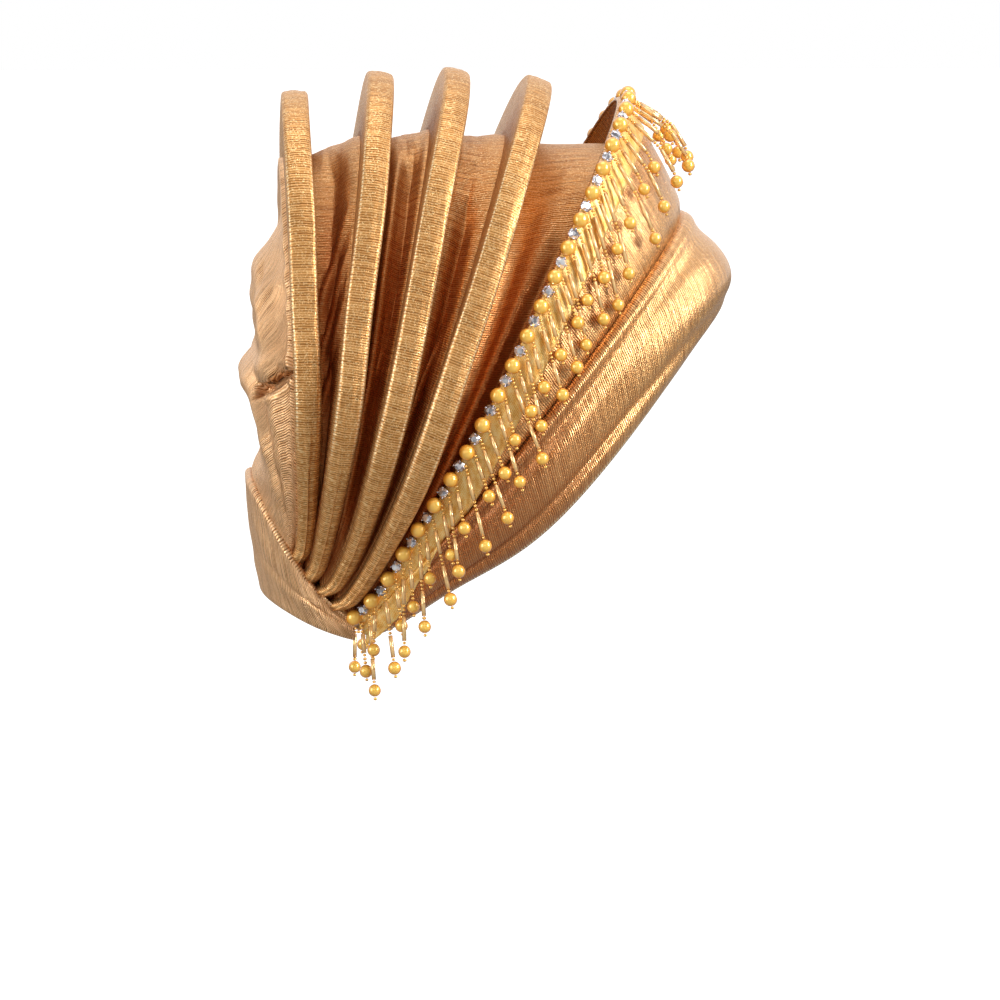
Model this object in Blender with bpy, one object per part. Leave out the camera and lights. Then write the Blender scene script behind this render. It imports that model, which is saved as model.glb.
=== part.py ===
"""Ready-tied gele turban: a hollow pleated cap, four padded fins, two front bands and a beaded trim.

The origin is the head seat, the inside top of the crown. +X is the wearer's front, +Y the
wearer's left and +Z up. Every cloth piece is spanned by arches that climb from the right
gather, behind the ear, over the head to the left gather.
"""

import math
from collections import namedtuple

import bmesh
import bpy
from mathutils import Vector

# Sizes of the whole cap, which the shares in the tables follow
CAP_LENGTH = 0.200
CAP_HEIGHT = 0.200
CAP_HALF_WIDTH = 0.085

# Cloth
WALL = 0.002
BAND_WALL = 0.003
REAR_BAND_WALL = 0.003
CLEARANCE = 0.0003
ARCH_SEGMENTS = 24

# Fins
FIN_THICKNESS = 0.011
FIN_FOOT_THICKNESS = 0.0066
FIN_TOP_RISE = 0.0305
FIN_SIDE_RISE = 0.018
FIN_FOOT_RISE = 0.007
FIN_PIPING = 0.0014
FIN_SIDE_CLIMB = 0.45
FIN_FULL_CLIMB = 0.35

# Front bands: how far their rolls stand out, the share of it left at the feet, and the
# climbs where the feet's taper ends and the forehead's fuller roll begins
UPPER_ROLL = 0.002
LOWER_ROLL_SIDE = 0.004
LOWER_ROLL_FRONT = 0.0145
ROLL_AT_FOOT = 0.15
FOOT_TAPER_CLIMB = 0.35
FOREHEAD_CLIMB = 0.55
LOWER_ROLL_FULLNESS = 0.9
CREASE_GAP_SHARE = 0.075
REAR_BAND_STAND = 0.002

# Trim
PEARL_RADIUS = 0.0035
PEARL_PITCH = 0.0143
THREAD_RADIUS = 0.0007
TRIM_EDGE = 0.0035
RIBBON_EDGE = 0.0015
RIBBON_WIDTH = 0.0165
RIBBON_WALL = 0.0008
RIBBON_STAND = 0.0007
FRINGE_WALL = 0.0016
FRINGE_HEADING = 0.003
HEADING_GAP = 0.001
FRINGE_STAND = 0.0014
STRAND_WIDTH = 0.0052
LONG_STRAND = 0.040
SHORT_STRAND = 0.027
STRAND_KNEE = 0.55
STRAND_SWING = 0.0028
STRAND_LEAN_SIDE = math.radians(48)
STRAND_LEAN_FRONT = math.radians(88)
STRAND_FRONT_CLIMB = 0.70
STRAND_FRONT_STAND = 0.42
HANG_SHARE = 0.75
BEAD_SIDES = 10

# An arch: where its top and foot lie, as shares of the cap's length and height, how far out
# its foot and its widest point lie, as shares of the half width, how high the widest point
# is, how pointed the top is, and how far it bows forward low down, as a share of the length
Arch = namedtuple("Arch", "top_x top_z foot_x foot_z foot_y width widest_at point bow")

FIN_SEATS = {
    "fin_1": Arch(-0.390, 0.015, -0.387, -0.828, 0.61, 0.87, 0.44, 1.02, 0.015),
    "fin_2": Arch(-0.220, 0.058, -0.357, -0.870, 0.62, 0.965, 0.44, 1.02, 0.015),
    "fin_3": Arch(-0.067, 0.068, -0.324, -0.908, 0.62, 1.00, 0.44, 1.02, 0.035),
    "fin_4": Arch(0.100, 0.053, -0.295, -0.943, 0.61, 1.01, 0.44, 1.02, 0.040),
}
TRIM_ARCH = Arch(0.330, 0.158, -0.267, -0.966, 0.59, 1.05, 0.44, 1.00, 0.035)
CREASE_ARCH = Arch(0.474, -0.100, -0.252, -0.995, 0.585, 1.01, 0.46, 1.00, 0.010)
FACE_ARCH = Arch(0.528, -0.345, -0.243, -1.020, 0.58, 0.945, 0.45, 1.00, 0.110)
REAR_UPPER_ARCH = Arch(-0.490, -0.695, -0.272, -0.990, 0.60, 0.635, 0.40, 0.45, -0.035)
REAR_LOWER_ARCH = Arch(-0.460, -0.935, -0.268, -1.022, 0.595, 0.615, 0.25, 0.60, -0.015)

# The drape's arches from the rear band up to fin 1, in the arches' own shares
DrapeRow = namedtuple("DrapeRow", "top_x top_z width point")
DRAPE_ROWS = (
    DrapeRow(-0.467, -0.645, 0.66, 0.50),
    DrapeRow(-0.470, -0.585, 0.68, 0.55),
    DrapeRow(-0.467, -0.530, 0.71, 0.62),
    DrapeRow(-0.502, -0.458, 0.74, 0.70),
    DrapeRow(-0.474, -0.395, 0.77, 0.80),
    DrapeRow(-0.485, -0.280, 0.80, 0.90),
    DrapeRow(-0.478, -0.215, 0.82, 1.00),
    DrapeRow(-0.442, -0.164, 0.84, 1.10),
    DrapeRow(-0.417, -0.100, 0.86, 1.15),
)
DRAPE_FOOT_SHARE = 0.28
DRAPE_BLEND = 0.40
DRAPE_AXIS_X = -0.20
DRAPE_GAP = 0.0010

# The cloth between two fins: how far across it a fold line lies and how far it stands out,
# as a share of the side rise
Fold = namedtuple("Fold", "across relief")
VALLEY_FOLDS = (
    (Fold(0.35, -0.16), Fold(0.70, -0.10)),
    (Fold(0.38, 0.06), Fold(0.70, -0.16)),
    (Fold(0.45, -0.22), Fold(0.75, -0.04)),
    (Fold(0.40, 0.04), Fold(0.78, -0.20)),
)
TUCK_SIDE = 0.14
TUCK_FRONT = 0.44
TUCK_CLIMB = 0.72
FOLD_FULLNESS = 0.7

GOLD_CLOTH = ((0.60, 0.36, 0.12, 1.0), 0.38, 0.75)
GOLD_MESH = ((0.70, 0.47, 0.14, 1.0), 0.35, 0.85)
GOLD_PEARL = ((0.90, 0.62, 0.12, 1.0), 0.22, 0.25)
GOLD_BEADS = ((0.92, 0.62, 0.34, 1.0), 0.25, 0.80)


def clear_scene():
    for item in list(bpy.data.objects):
        bpy.data.objects.remove(item)


def principled(name, look):
    color, roughness, metallic = look
    material = bpy.data.materials.new(name)
    material.use_nodes = True
    shader = material.node_tree.nodes["Principled BSDF"]
    shader.inputs["Base Color"].default_value = color
    shader.inputs["Roughness"].default_value = roughness
    shader.inputs["Metallic"].default_value = metallic
    material.diffuse_color = color
    return material


def smooth_step(value):
    value = min(max(value, 0.0), 1.0)
    return value * value * (3 - 2 * value)


def share_above(climb, start):
    """Rises smoothly from 0 at this climb to 1 at the top."""
    return smooth_step((climb - start) / (1 - start))


def climb_of(station, stations):
    """Height along an arch: 0 at either foot, 1 at the top."""
    return 1 - abs(2 * station / stations - 1)


def bow_share(climb):
    """A forward bow that is largest, at 1, a quarter of the way up."""
    return (1 - climb) ** 1.5 * math.sqrt(climb) / (0.75 ** 1.5 * math.sqrt(0.25))


def arch_half(row, samples=64):
    """Points from the right foot to the top."""
    foot = Vector((row.foot_x * CAP_LENGTH, 0, row.foot_z * CAP_HEIGHT))
    top = Vector((row.top_x * CAP_LENGTH, 0, row.top_z * CAP_HEIGHT))
    points = []
    for sample in range(samples + 1):
        share = sample / samples
        if share < 0.5:
            climb = row.widest_at * share * 2
            spread = row.foot_y + (row.width - row.foot_y) * math.sin(math.pi * share)
        else:
            angle = math.pi * (share - 0.5)
            climb = row.widest_at + (1 - row.widest_at) * math.sin(angle)
            spread = row.width * max(math.cos(angle), 0.0) ** row.point
        point = foot.lerp(top, climb)
        point.x += row.bow * CAP_LENGTH * bow_share(min(climb, 1.0))
        point.y = -spread * CAP_HALF_WIDTH
        points.append(point)
    points[-1].y = 0.0
    return points


def resample(points, segments):
    """The same line with stations an equal length apart."""
    lengths = [0.0]
    for first, second in zip(points, points[1:]):
        lengths.append(lengths[-1] + (second - first).length)
    found = []
    index = 0
    for station in range(segments + 1):
        wanted = lengths[-1] * station / segments
        while index < len(points) - 2 and lengths[index + 1] < wanted:
            index += 1
        span = max(lengths[index + 1] - lengths[index], 1e-9)
        share = (wanted - lengths[index]) / span
        found.append(points[index].lerp(points[index + 1], min(max(share, 0.0), 1.0)))
    return found


def whole_line(half):
    """A line from the right gather to the left one, from its right half."""
    mirrored = [Vector((point.x, -point.y, point.z)) for point in reversed(half[:-1])]
    return half + mirrored


def arch_line(row, segments=ARCH_SEGMENTS):
    return whole_line(resample(arch_half(row), segments // 2))


def tangents(line):
    last = len(line) - 1
    return [
        (line[min(index + 1, last)] - line[max(index - 1, 0)]).normalized()
        for index in range(last + 1)
    ]


def across_of(row):
    """The direction towards the front, square to an arch's plane."""
    rise_x = (row.top_x - row.foot_x) * CAP_LENGTH
    rise_z = (row.top_z - row.foot_z) * CAP_HEIGHT
    return Vector((rise_z, 0, -rise_x)).normalized()


def outward_of(line, across):
    """Per station, the direction away from the head, square to the line and to across."""
    return [across.cross(tangent).normalized() for tangent in tangents(line)]


def between(first, second, share):
    return [a.lerp(b, share) for a, b in zip(first, second)]


def pushed(line, directions, lengths):
    return [
        point + direction * length
        for point, direction, length in zip(line, directions, lengths)
    ]


def grid_normals(lines, first=None, last=None):
    """Normals that face away from the head. First and last replace those of an edge line."""
    last_line = len(lines) - 1
    normals = []
    for row, line in enumerate(lines):
        below = lines[max(row - 1, 0)]
        above = lines[min(row + 1, last_line)]
        directions = tangents(line)
        normals.append([
            (above[index] - below[index]).cross(directions[index]).normalized()
            for index in range(len(line))
        ])
    normals[0] = first or normals[0]
    normals[-1] = last or normals[-1]
    return normals


def offset_grid(lines, distance, first=None, last=None):
    """The grid moved out along its normals. The lines run from the back to the front."""
    return [
        [point + normal * distance for point, normal in zip(line, row)]
        for line, row in zip(lines, grid_normals(lines, first, last))
    ]


def finish(name, mesh, material):
    bmesh.ops.recalc_face_normals(mesh, faces=mesh.faces)
    if mesh.calc_volume(signed=True) < 0:
        bmesh.ops.reverse_faces(mesh, faces=mesh.faces)
    data = bpy.data.meshes.new(name)
    mesh.to_mesh(data)
    mesh.free()
    data.materials.append(material)
    data.polygons.foreach_set("use_smooth", [True] * len(data.polygons))
    item = bpy.data.objects.new(name, data)
    bpy.context.scene.collection.objects.link(item)
    return item


def add_triangles(mesh, a, b, c, d):
    """A four-cornered face, cut along one diagonal on the left and its mirror on the right."""
    if a.co.y + b.co.y + c.co.y + d.co.y < 0:
        a, b, c, d = b, c, d, a
    mesh.faces.new((a, b, c))
    mesh.faces.new((a, c, d))


def shell(name, outer, inner, material):
    """A closed wall between two grids of the same size."""
    mesh = bmesh.new()
    sides = [
        [[mesh.verts.new(point) for point in line] for line in grid]
        for grid in (outer, inner)
    ]
    rows = len(outer) - 1
    columns = len(outer[0]) - 1
    for side in sides:
        for row in range(rows):
            for column in range(columns):
                add_triangles(
                    mesh,
                    side[row][column],
                    side[row][column + 1],
                    side[row + 1][column + 1],
                    side[row + 1][column],
                )
    rim = [(0, column) for column in range(columns)]
    rim += [(row, columns) for row in range(rows)]
    rim += [(rows, column) for column in range(columns, 0, -1)]
    rim += [(row, 0) for row in range(rows, 0, -1)]
    for index, (row, column) in enumerate(rim):
        next_row, next_column = rim[(index + 1) % len(rim)]
        add_triangles(
            mesh,
            sides[0][row][column],
            sides[0][next_row][next_column],
            sides[1][next_row][next_column],
            sides[1][row][column],
        )
    return finish(name, mesh, material)


def fin_rise(climb):
    """How far a fin stands out from the crown at this height of its arch."""
    grown = smooth_step(climb / FIN_SIDE_CLIMB)
    low = FIN_FOOT_RISE + (FIN_SIDE_RISE - FIN_FOOT_RISE) * grown
    return low + (FIN_TOP_RISE - FIN_SIDE_RISE) * share_above(climb, FIN_SIDE_CLIMB)


def fin_half_thickness(climb):
    spread = FIN_THICKNESS - FIN_FOOT_THICKNESS
    return (FIN_FOOT_THICKNESS + spread * smooth_step(climb / FIN_FULL_CLIMB)) / 2


class FinSeat:
    """Where one fin stands on the crown: its centre line and its two edges."""

    def __init__(self, row):
        self.line = arch_line(row)
        self.across = across_of(row)
        self.outward = outward_of(self.line, self.across)
        self.climbs = [climb_of(i, ARCH_SEGMENTS) for i in range(ARCH_SEGMENTS + 1)]
        halves = [fin_half_thickness(climb) for climb in self.climbs]
        self.back = pushed(self.line, [-self.across] * len(halves), halves)
        self.front = pushed(self.line, [self.across] * len(halves), halves)


def fin(name, seat, material):
    """A padded plate with piped edges, standing on the crown along its seat."""
    rings = []
    for index, climb in enumerate(seat.climbs):
        outward = seat.outward[index]
        rise = fin_rise(climb)
        ring = []
        for edge, side in ((seat.back[index], 1), (seat.front[index], -1)):
            low = edge + outward * CLEARANCE
            high = edge + outward * (rise - FIN_PIPING)
            rim = edge + outward * rise + seat.across * FIN_PIPING * side
            ring.append([low, high, rim] if side == 1 else [rim, high, low])
        rings.append(ring[0] + ring[1])
    mesh = bmesh.new()
    verts = [[mesh.verts.new(point) for point in ring] for ring in rings]
    count = len(verts[0])
    for first, second in zip(verts, verts[1:]):
        for corner in range(count - 1):
            add_triangles(
                mesh, first[corner], second[corner], second[corner + 1], first[corner + 1]
            )
        add_triangles(mesh, first[0], second[0], second[count - 1], first[count - 1])
    for end in (verts[0], verts[-1]):
        mesh.faces.new(end)
    return finish(name, mesh, material)


def foot_taper(station):
    """How much of a band's roll is left where it narrows to the gather."""
    grown = smooth_step(climb_of(station, ARCH_SEGMENTS) / FOOT_TAPER_CLIMB)
    return ROLL_AT_FOOT + (1 - ROLL_AT_FOOT) * grown


def upper_band_lines():
    """Outer face of the standing band, from its trimmed top edge to the crease."""
    trim = arch_line(TRIM_ARCH)
    crease = arch_line(CREASE_ARCH)
    shares = (0.0, 0.11, 0.36, 0.68, 1.0)
    flat = [between(trim, crease, share) for share in shares]
    normals = grid_normals(flat)
    lines = []
    for line, row, share in zip(flat, normals, shares):
        rolls = [
            UPPER_ROLL * math.sin(math.pi * share) * foot_taper(index)
            for index in range(len(line))
        ]
        lines.append(pushed(line, row, rolls))
    return lines


def lower_band_lines():
    """Outer face of the rolled forehead band, from just below the crease to the face."""
    crease = arch_line(CREASE_ARCH)
    face = arch_line(FACE_ARCH)
    shares = (0.0, 0.16, 0.38, 0.60, 0.82, 1.0)
    flat = [between(crease, face, share) for share in shares]
    normals = grid_normals(flat)
    lines = []
    for line, row, share in zip(flat, normals, shares):
        rolls = []
        for index in range(len(line)):
            front = share_above(climb_of(index, ARCH_SEGMENTS), FOREHEAD_CLIMB)
            roll = LOWER_ROLL_SIDE + (LOWER_ROLL_FRONT - LOWER_ROLL_SIDE) * front
            roll *= foot_taper(index)
            hump = math.sin(math.pi * share) ** LOWER_ROLL_FULLNESS if share % 1 else 0.0
            rolls.append(roll * hump)
        lines.append(pushed(line, row, rolls))
    lines[0] = between(lines[0], lines[1], CREASE_GAP_SHARE)
    return lines


def tuck_line(band):
    """Where the crown's front edge ends, inside the standing band."""
    inner = offset_grid(band, -BAND_WALL - WALL)
    found = []
    for index in range(ARCH_SEGMENTS + 1):
        front = share_above(climb_of(index, ARCH_SEGMENTS), TUCK_CLIMB)
        share = (TUCK_SIDE + (TUCK_FRONT - TUCK_SIDE) * front) * (len(inner) - 1)
        step = min(int(share), len(inner) - 2)
        found.append(inner[step][index].lerp(inner[step + 1][index], share - step))
    return found


def crown_lines(seats, band):
    """Outer face of the crown, from the middle of fin 1's seat to the front tuck."""
    base = [seats[0].line, seats[0].front]
    reliefs = [0.0, 0.0]
    edges = [(a.front, b.back) for a, b in zip(seats, seats[1:])]
    edges.append((seats[-1].front, tuck_line(band)))
    for number, (near, far) in enumerate(edges):
        for fold in VALLEY_FOLDS[number]:
            base.append(between(near, far, fold.across))
            reliefs.append(fold.relief)
        base.append(far)
        reliefs.append(0.0)
        if number + 1 < len(seats):
            base.append(seats[number + 1].front)
            reliefs.append(0.0)
    normals = grid_normals(base)
    lines = []
    for line, row, relief in zip(base, normals, reliefs):
        lengths = []
        for index in range(len(line)):
            climb = climb_of(index, ARCH_SEGMENTS)
            swell = (4 * climb * (1 - climb)) ** FOLD_FULLNESS if 0 < climb < 1 else 0.0
            lengths.append(relief * FIN_SIDE_RISE * swell)
        lines.append(pushed(line, row, lengths))
    lines[0] = pushed(lines[0], [seats[0].across] * len(lines[0]), [CLEARANCE] * len(lines[0]))
    return lines


def drape_lines(seat, rear_edge):
    """Outer face of the rear drape, from the rear band's upper edge up to fin 1."""
    right = rear_edge[: len(rear_edge) // 2 + 1]
    start = int(DRAPE_FOOT_SHARE * 2 * (len(right) - 1))
    low = whole_line(resample(right[start:], ARCH_SEGMENTS // 2))
    foot = low[0]
    lines = [low]
    count = len(DRAPE_ROWS) + 1
    high = pushed(seat.back, [-seat.across] * len(low), [3 * CLEARANCE] * len(low))
    for number, row in enumerate(DRAPE_ROWS, start=1):
        place = foot.lerp(high[0], number / count)
        arch = Arch(
            row.top_x,
            row.top_z,
            place.x / CAP_LENGTH,
            place.z / CAP_HEIGHT,
            -place.y / CAP_HALF_WIDTH,
            row.width,
            0.5,
            row.point,
            0.0,
        )
        ruled = between(low, high, number / count)
        lines.append([
            straight.lerp(bent, smooth_step(climb / DRAPE_BLEND))
            for straight, bent, climb in zip(ruled, arch_line(arch), seat.climbs)
        ])
    lifts = [(above - below).normalized() for below, above in zip(lines[0], lines[1])]
    lines[0] = pushed(lines[0], lifts, [DRAPE_GAP] * len(lifts))
    gap = [CLEARANCE] * len(seat.line)
    lines.append(seat.back)
    lines.append(pushed(seat.line, [-seat.across] * len(gap), gap))
    return lines


def drape_inside(lines, seat):
    """Inner face of the drape, offset straight inwards near the feet, where its rows meet."""
    found = []
    for line, row in zip(lines[:-1], grid_normals(lines)):
        directions = []
        for point, normal, climb in zip(line, row, seat.climbs):
            radial = Vector((point.x - DRAPE_AXIS_X * CAP_LENGTH, point.y, 0)).normalized()
            directions.append(radial.lerp(normal, smooth_step(climb / DRAPE_BLEND)).normalized())
        found.append(pushed(line, directions, [-WALL] * len(line)))
    found.append(pushed(lines[-1], seat.outward, [-WALL] * len(lines[-1])))
    return found


def rear_band_lines():
    """Outer face of the rear band, from its lower rim up to its upper edge."""
    lower = arch_line(REAR_LOWER_ARCH)
    upper = arch_line(REAR_UPPER_ARCH)
    return [between(lower, upper, share) for share in (0.0, 0.35, 0.70, 1.0)]


class BandFront:
    """The front bands' outer faces as one strip, measured from the trimmed top edge down."""

    def __init__(self, upper, lower):
        self.lines = upper[:-1] + lower
        self.normals = grid_normals(upper)[:-1] + grid_normals(lower)
        self.outline = upper[0]

    def at_station(self, index, distance, lift):
        """The point at this distance below the edge, and the normal there."""
        point = self.lines[0][index]
        for row in range(1, len(self.lines)):
            following = self.lines[row][index]
            step = (following - point).length
            if distance <= step:
                share = distance / step
                normal = self.normals[row - 1][index].lerp(self.normals[row][index], share)
                normal.normalize()
                return point.lerp(following, share) + normal * lift, normal
            distance -= step
            point = following
        normal = self.normals[-1][index].copy()
        normal.z = 0.0
        normal.normalize()
        return point + Vector((0, 0, -distance)) + normal * lift, normal

    def at(self, place, distance, lift):
        """The same between stations: place runs from 0 at the right gather to 1 at the left."""
        exact = min(max(place, 0.0), 1.0) * ARCH_SEGMENTS
        index = min(int(exact), ARCH_SEGMENTS - 1)
        low, low_normal = self.at_station(index, distance, lift)
        high, high_normal = self.at_station(index + 1, distance, lift)
        share = exact - index
        return low.lerp(high, share), low_normal.lerp(high_normal, share).normalized()

    def line(self, distance, lift):
        return [
            self.at_station(index, distance, lift)[0] for index in range(ARCH_SEGMENTS + 1)
        ]


def spaced_places(front, pitch):
    """Places along the trim this far apart, with one at the centre front."""
    samples = 480
    lift = RIBBON_STAND + RIBBON_WALL + CLEARANCE + PEARL_RADIUS
    points = [front.at(0.5 + 0.5 * i / samples, TRIM_EDGE, lift)[0] for i in range(samples + 1)]
    places = [0.5]
    walked = 0.0
    for index in range(samples):
        walked += (points[index + 1] - points[index]).length
        if walked >= pitch * len(places):
            places.append(0.5 + 0.5 * (index + 1) / samples)
    return [1 - place for place in reversed(places[1:])] + places


def pearl_chain(front, pearl_material):
    """Pearls on a thread, as one body. The small stones between them are left to the looks."""
    lift = RIBBON_STAND + RIBBON_WALL + CLEARANCE + PEARL_RADIUS
    places = spaced_places(front, PEARL_PITCH)[1:-1]
    centres = [front.at(place, TRIM_EDGE, lift) for place in places]
    directions = tangents([centre for centre, _ in centres])
    mesh = bmesh.new()
    rings = []
    pearl_angles = [math.radians(angle) for angle in (12, 50, 90, 130, 168)]
    for (centre, normal), along in zip(centres, directions):
        normal = (normal - along * normal.dot(along)).normalized()
        binormal = along.cross(normal)
        for angle in pearl_angles:
            radius = max(PEARL_RADIUS * math.sin(angle), THREAD_RADIUS)
            middle = centre - along * PEARL_RADIUS * math.cos(angle)
            rings.append([
                mesh.verts.new(
                    middle
                    + normal * radius * math.cos(math.tau * side / BEAD_SIDES)
                    + binormal * radius * math.sin(math.tau * side / BEAD_SIDES)
                )
                for side in range(BEAD_SIDES)
            ])
    for first, second in zip(rings, rings[1:]):
        for side in range(BEAD_SIDES):
            following = (side + 1) % BEAD_SIDES
            add_triangles(mesh, first[side], second[side], second[following], first[following])
    mesh.faces.new(rings[0])
    mesh.faces.new(rings[-1])
    return finish("pearl_chain", mesh, pearl_material)


def mesh_ribbon(front, material):
    """The mesh strip under the strands, laid over both front bands."""
    distances = [RIBBON_EDGE + RIBBON_WIDTH * share for share in (0.0, 0.33, 0.66, 1.0)]
    low = [front.line(distance, RIBBON_STAND) for distance in distances]
    high = [front.line(distance, RIBBON_STAND + RIBBON_WALL) for distance in distances]
    return shell("mesh_ribbon", high, low, material)


def strand_path(front, place, length, start, lift):
    """Where a strand leaves its heading, bends and ends, with the normal at each."""
    climb = 1 - abs(2 * place - 1)
    front_share = share_above(climb, STRAND_FRONT_CLIMB)
    lean = STRAND_LEAN_SIDE + (STRAND_LEAN_FRONT - STRAND_LEAN_SIDE) * front_share
    line_length = sum(
        (b - a).length for a, b in zip(front.outline, front.outline[1:])
    )
    side = -1 if place < 0.5 else 1
    found = []
    for share in (0.0, STRAND_KNEE, 1.0):
        reach = length * share
        drop = 0.0
        if share == 1.0:
            drop = length * (1 - STRAND_KNEE) * front_share
            reach -= drop * HANG_SHARE
        moved = place + side * reach * math.cos(lean) / line_length
        stand = lift + STRAND_FRONT_STAND * reach * front_share + STRAND_SWING * share
        point, normal = front.at(moved, start + reach * math.sin(lean), stand)
        found.append((point - Vector((0, 0, drop * HANG_SHARE)), normal))
    return found


def bead_fringe(front, material):
    """Strands fused to one heading below the pearls, long and short in turn."""
    heading_top = TRIM_EDGE + PEARL_RADIUS + HEADING_GAP
    heading_low = heading_top + FRINGE_HEADING
    lift = RIBBON_STAND + RIBBON_WALL + FRINGE_STAND
    pearls = spaced_places(front, PEARL_PITCH)
    places = [(first + second) / 2 for first, second in zip(pearls, pearls[1:])]
    half = STRAND_WIDTH / 2 / sum(
        (b - a).length for a, b in zip(front.outline, front.outline[1:])
    )
    low_side = []
    high_side = []
    faces = []

    def add(point, normal):
        low_side.append(point)
        high_side.append(point + normal * FRINGE_WALL)
        return len(low_side) - 1

    previous = None
    for number, place in enumerate(places):
        columns = []
        for edge in (place - half, place + half):
            top = add(*front.at(edge, heading_top, lift))
            low = add(*front.at(edge, heading_low, lift))
            columns.append((top, low))
        if previous:
            faces.append((previous[0], columns[0][0], columns[0][1], previous[1]))
        faces.append((columns[0][0], columns[1][0], columns[1][1], columns[0][1]))
        from_end = min(number, len(places) - 1 - number)
        length = LONG_STRAND if from_end % 2 else SHORT_STRAND
        path = strand_path(front, place, length, heading_low, lift)
        lean_in = tuple(columns[side][1] for side in (0, 1))
        for point, normal in path[1:]:
            reach = (point - path[0][0]).normalized()
            across = normal.cross(reach).normalized() * STRAND_WIDTH / 2
            if across.dot(low_side[columns[1][0]] - low_side[columns[0][0]]) < 0:
                across.negate()
            pair = (add(point - across, normal), add(point + across, normal))
            faces.append((lean_in[0], lean_in[1], pair[1], pair[0]))
            lean_in = pair
        previous = columns[1]
    return patch_solid("bead_fringe", low_side, high_side, faces, material)


def patch_solid(name, low_side, high_side, faces, material):
    """A closed wall over any set of four-cornered faces."""
    mesh = bmesh.new()
    low = [mesh.verts.new(point) for point in low_side]
    high = [mesh.verts.new(point) for point in high_side]
    edges = {}
    for face in faces:
        add_triangles(mesh, *[low[index] for index in face])
        add_triangles(mesh, *[high[index] for index in face])
        for index, start in enumerate(face):
            end = face[(index + 1) % 4]
            edges.setdefault(frozenset((start, end)), []).append((start, end))
    for found in edges.values():
        if len(found) == 1:
            start, end = found[0]
            add_triangles(mesh, low[start], low[end], high[end], high[start])
    return finish(name, mesh, material)


def build_cloth():
    """Makes every cloth piece and returns the strip that the trim lies on."""
    cloth = principled("gold_lame", GOLD_CLOTH)
    seats = [FinSeat(row) for row in FIN_SEATS.values()]
    band = upper_band_lines()
    crown = crown_lines(seats, band)
    crown_inner = offset_grid(crown, -WALL, first=seats[0].outward)
    shell("crown_cloth", crown, crown_inner, cloth)
    for name, seat in zip(FIN_SEATS, seats):
        fin(name, seat, cloth)
    rear = rear_band_lines()
    drape = drape_lines(seats[0], whole_line(arch_half(REAR_UPPER_ARCH, 200)))
    shell("rear_drape", drape, drape_inside(drape, seats[0]), cloth)
    proud = offset_grid(rear, REAR_BAND_STAND)
    shell("rear_band", proud, offset_grid(proud, -REAR_BAND_WALL), cloth)
    band_inner = offset_grid(band, -BAND_WALL)
    shell("front_band_upper", band, band_inner, cloth)
    lower = lower_band_lines()
    shell("front_band_lower", lower, offset_grid(lower, -BAND_WALL), cloth)
    return BandFront(band, lower)


def build_trim(front):
    mesh_ribbon(front, principled("gold_mesh", GOLD_MESH))
    pearl_chain(front, principled("gold_pearl", GOLD_PEARL))
    bead_fringe(front, principled("gold_beads", GOLD_BEADS))


clear_scene()
build_trim(build_cloth())
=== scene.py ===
"""A ready-tied gele turban of crinkled gold lamé, with padded fins and a beaded trim."""

from __future__ import annotations

import logging
import math
import random
from collections.abc import Callable
from dataclasses import dataclass, field
from enum import Enum

import bmesh
import bpy
from mathutils import Matrix, Vector, noise

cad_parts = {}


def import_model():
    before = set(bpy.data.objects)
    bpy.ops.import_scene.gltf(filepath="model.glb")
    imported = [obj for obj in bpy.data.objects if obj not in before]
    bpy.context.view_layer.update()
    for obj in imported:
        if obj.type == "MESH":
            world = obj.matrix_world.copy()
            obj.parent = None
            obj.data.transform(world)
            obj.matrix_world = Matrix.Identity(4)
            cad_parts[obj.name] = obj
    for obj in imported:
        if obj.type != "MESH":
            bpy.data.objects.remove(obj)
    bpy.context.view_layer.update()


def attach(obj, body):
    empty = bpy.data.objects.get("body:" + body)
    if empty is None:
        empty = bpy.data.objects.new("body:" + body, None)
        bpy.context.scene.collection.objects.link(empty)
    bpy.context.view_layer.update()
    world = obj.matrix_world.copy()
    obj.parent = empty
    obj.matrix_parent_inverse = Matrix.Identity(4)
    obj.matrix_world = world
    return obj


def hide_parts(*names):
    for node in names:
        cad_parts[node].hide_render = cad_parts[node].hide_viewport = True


LOG = logging.getLogger("gele")
Line = list[Vector]
Socket = bpy.types.NodeSocket
Finish = bpy.types.Material
Form = bmesh.types.BMesh
STATIONS = 216
HALF = STATIONS // 2


class Slot(Enum):
    """The material slots' names."""

    CLOTH = "gold_lame"
    MESH = "gold_mesh"
    PEARL = "gold_pearl"
    BEADS = "gold_beads"


@dataclass(frozen=True)
class Cap:
    """The whole cap's sizes in metres, which the shares in the arches follow."""

    length: float = 0.200
    height: float = 0.200
    half_width: float = 0.085


CAP = Cap()


def smooth_step(value: float) -> float:
    """Rises smoothly from 0 at 0 to 1 at 1."""
    value = min(max(value, 0.0), 1.0)
    return value * value * (3 - 2 * value)


def share_above(climb: float, start: float) -> float:
    """Rises smoothly from 0 at this climb to 1 at the top."""
    return smooth_step((climb - start) / (1 - start))


def climb_of(station: int) -> float:
    """Height along an arch: 0 at either foot, 1 at the top."""
    return 1 - abs(2 * station / STATIONS - 1)


def hump(value: float, middle: float, width: float) -> float:
    """A bell curve of height 1 round the middle."""
    return math.exp(-(((value - middle) / width) ** 2))


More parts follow.
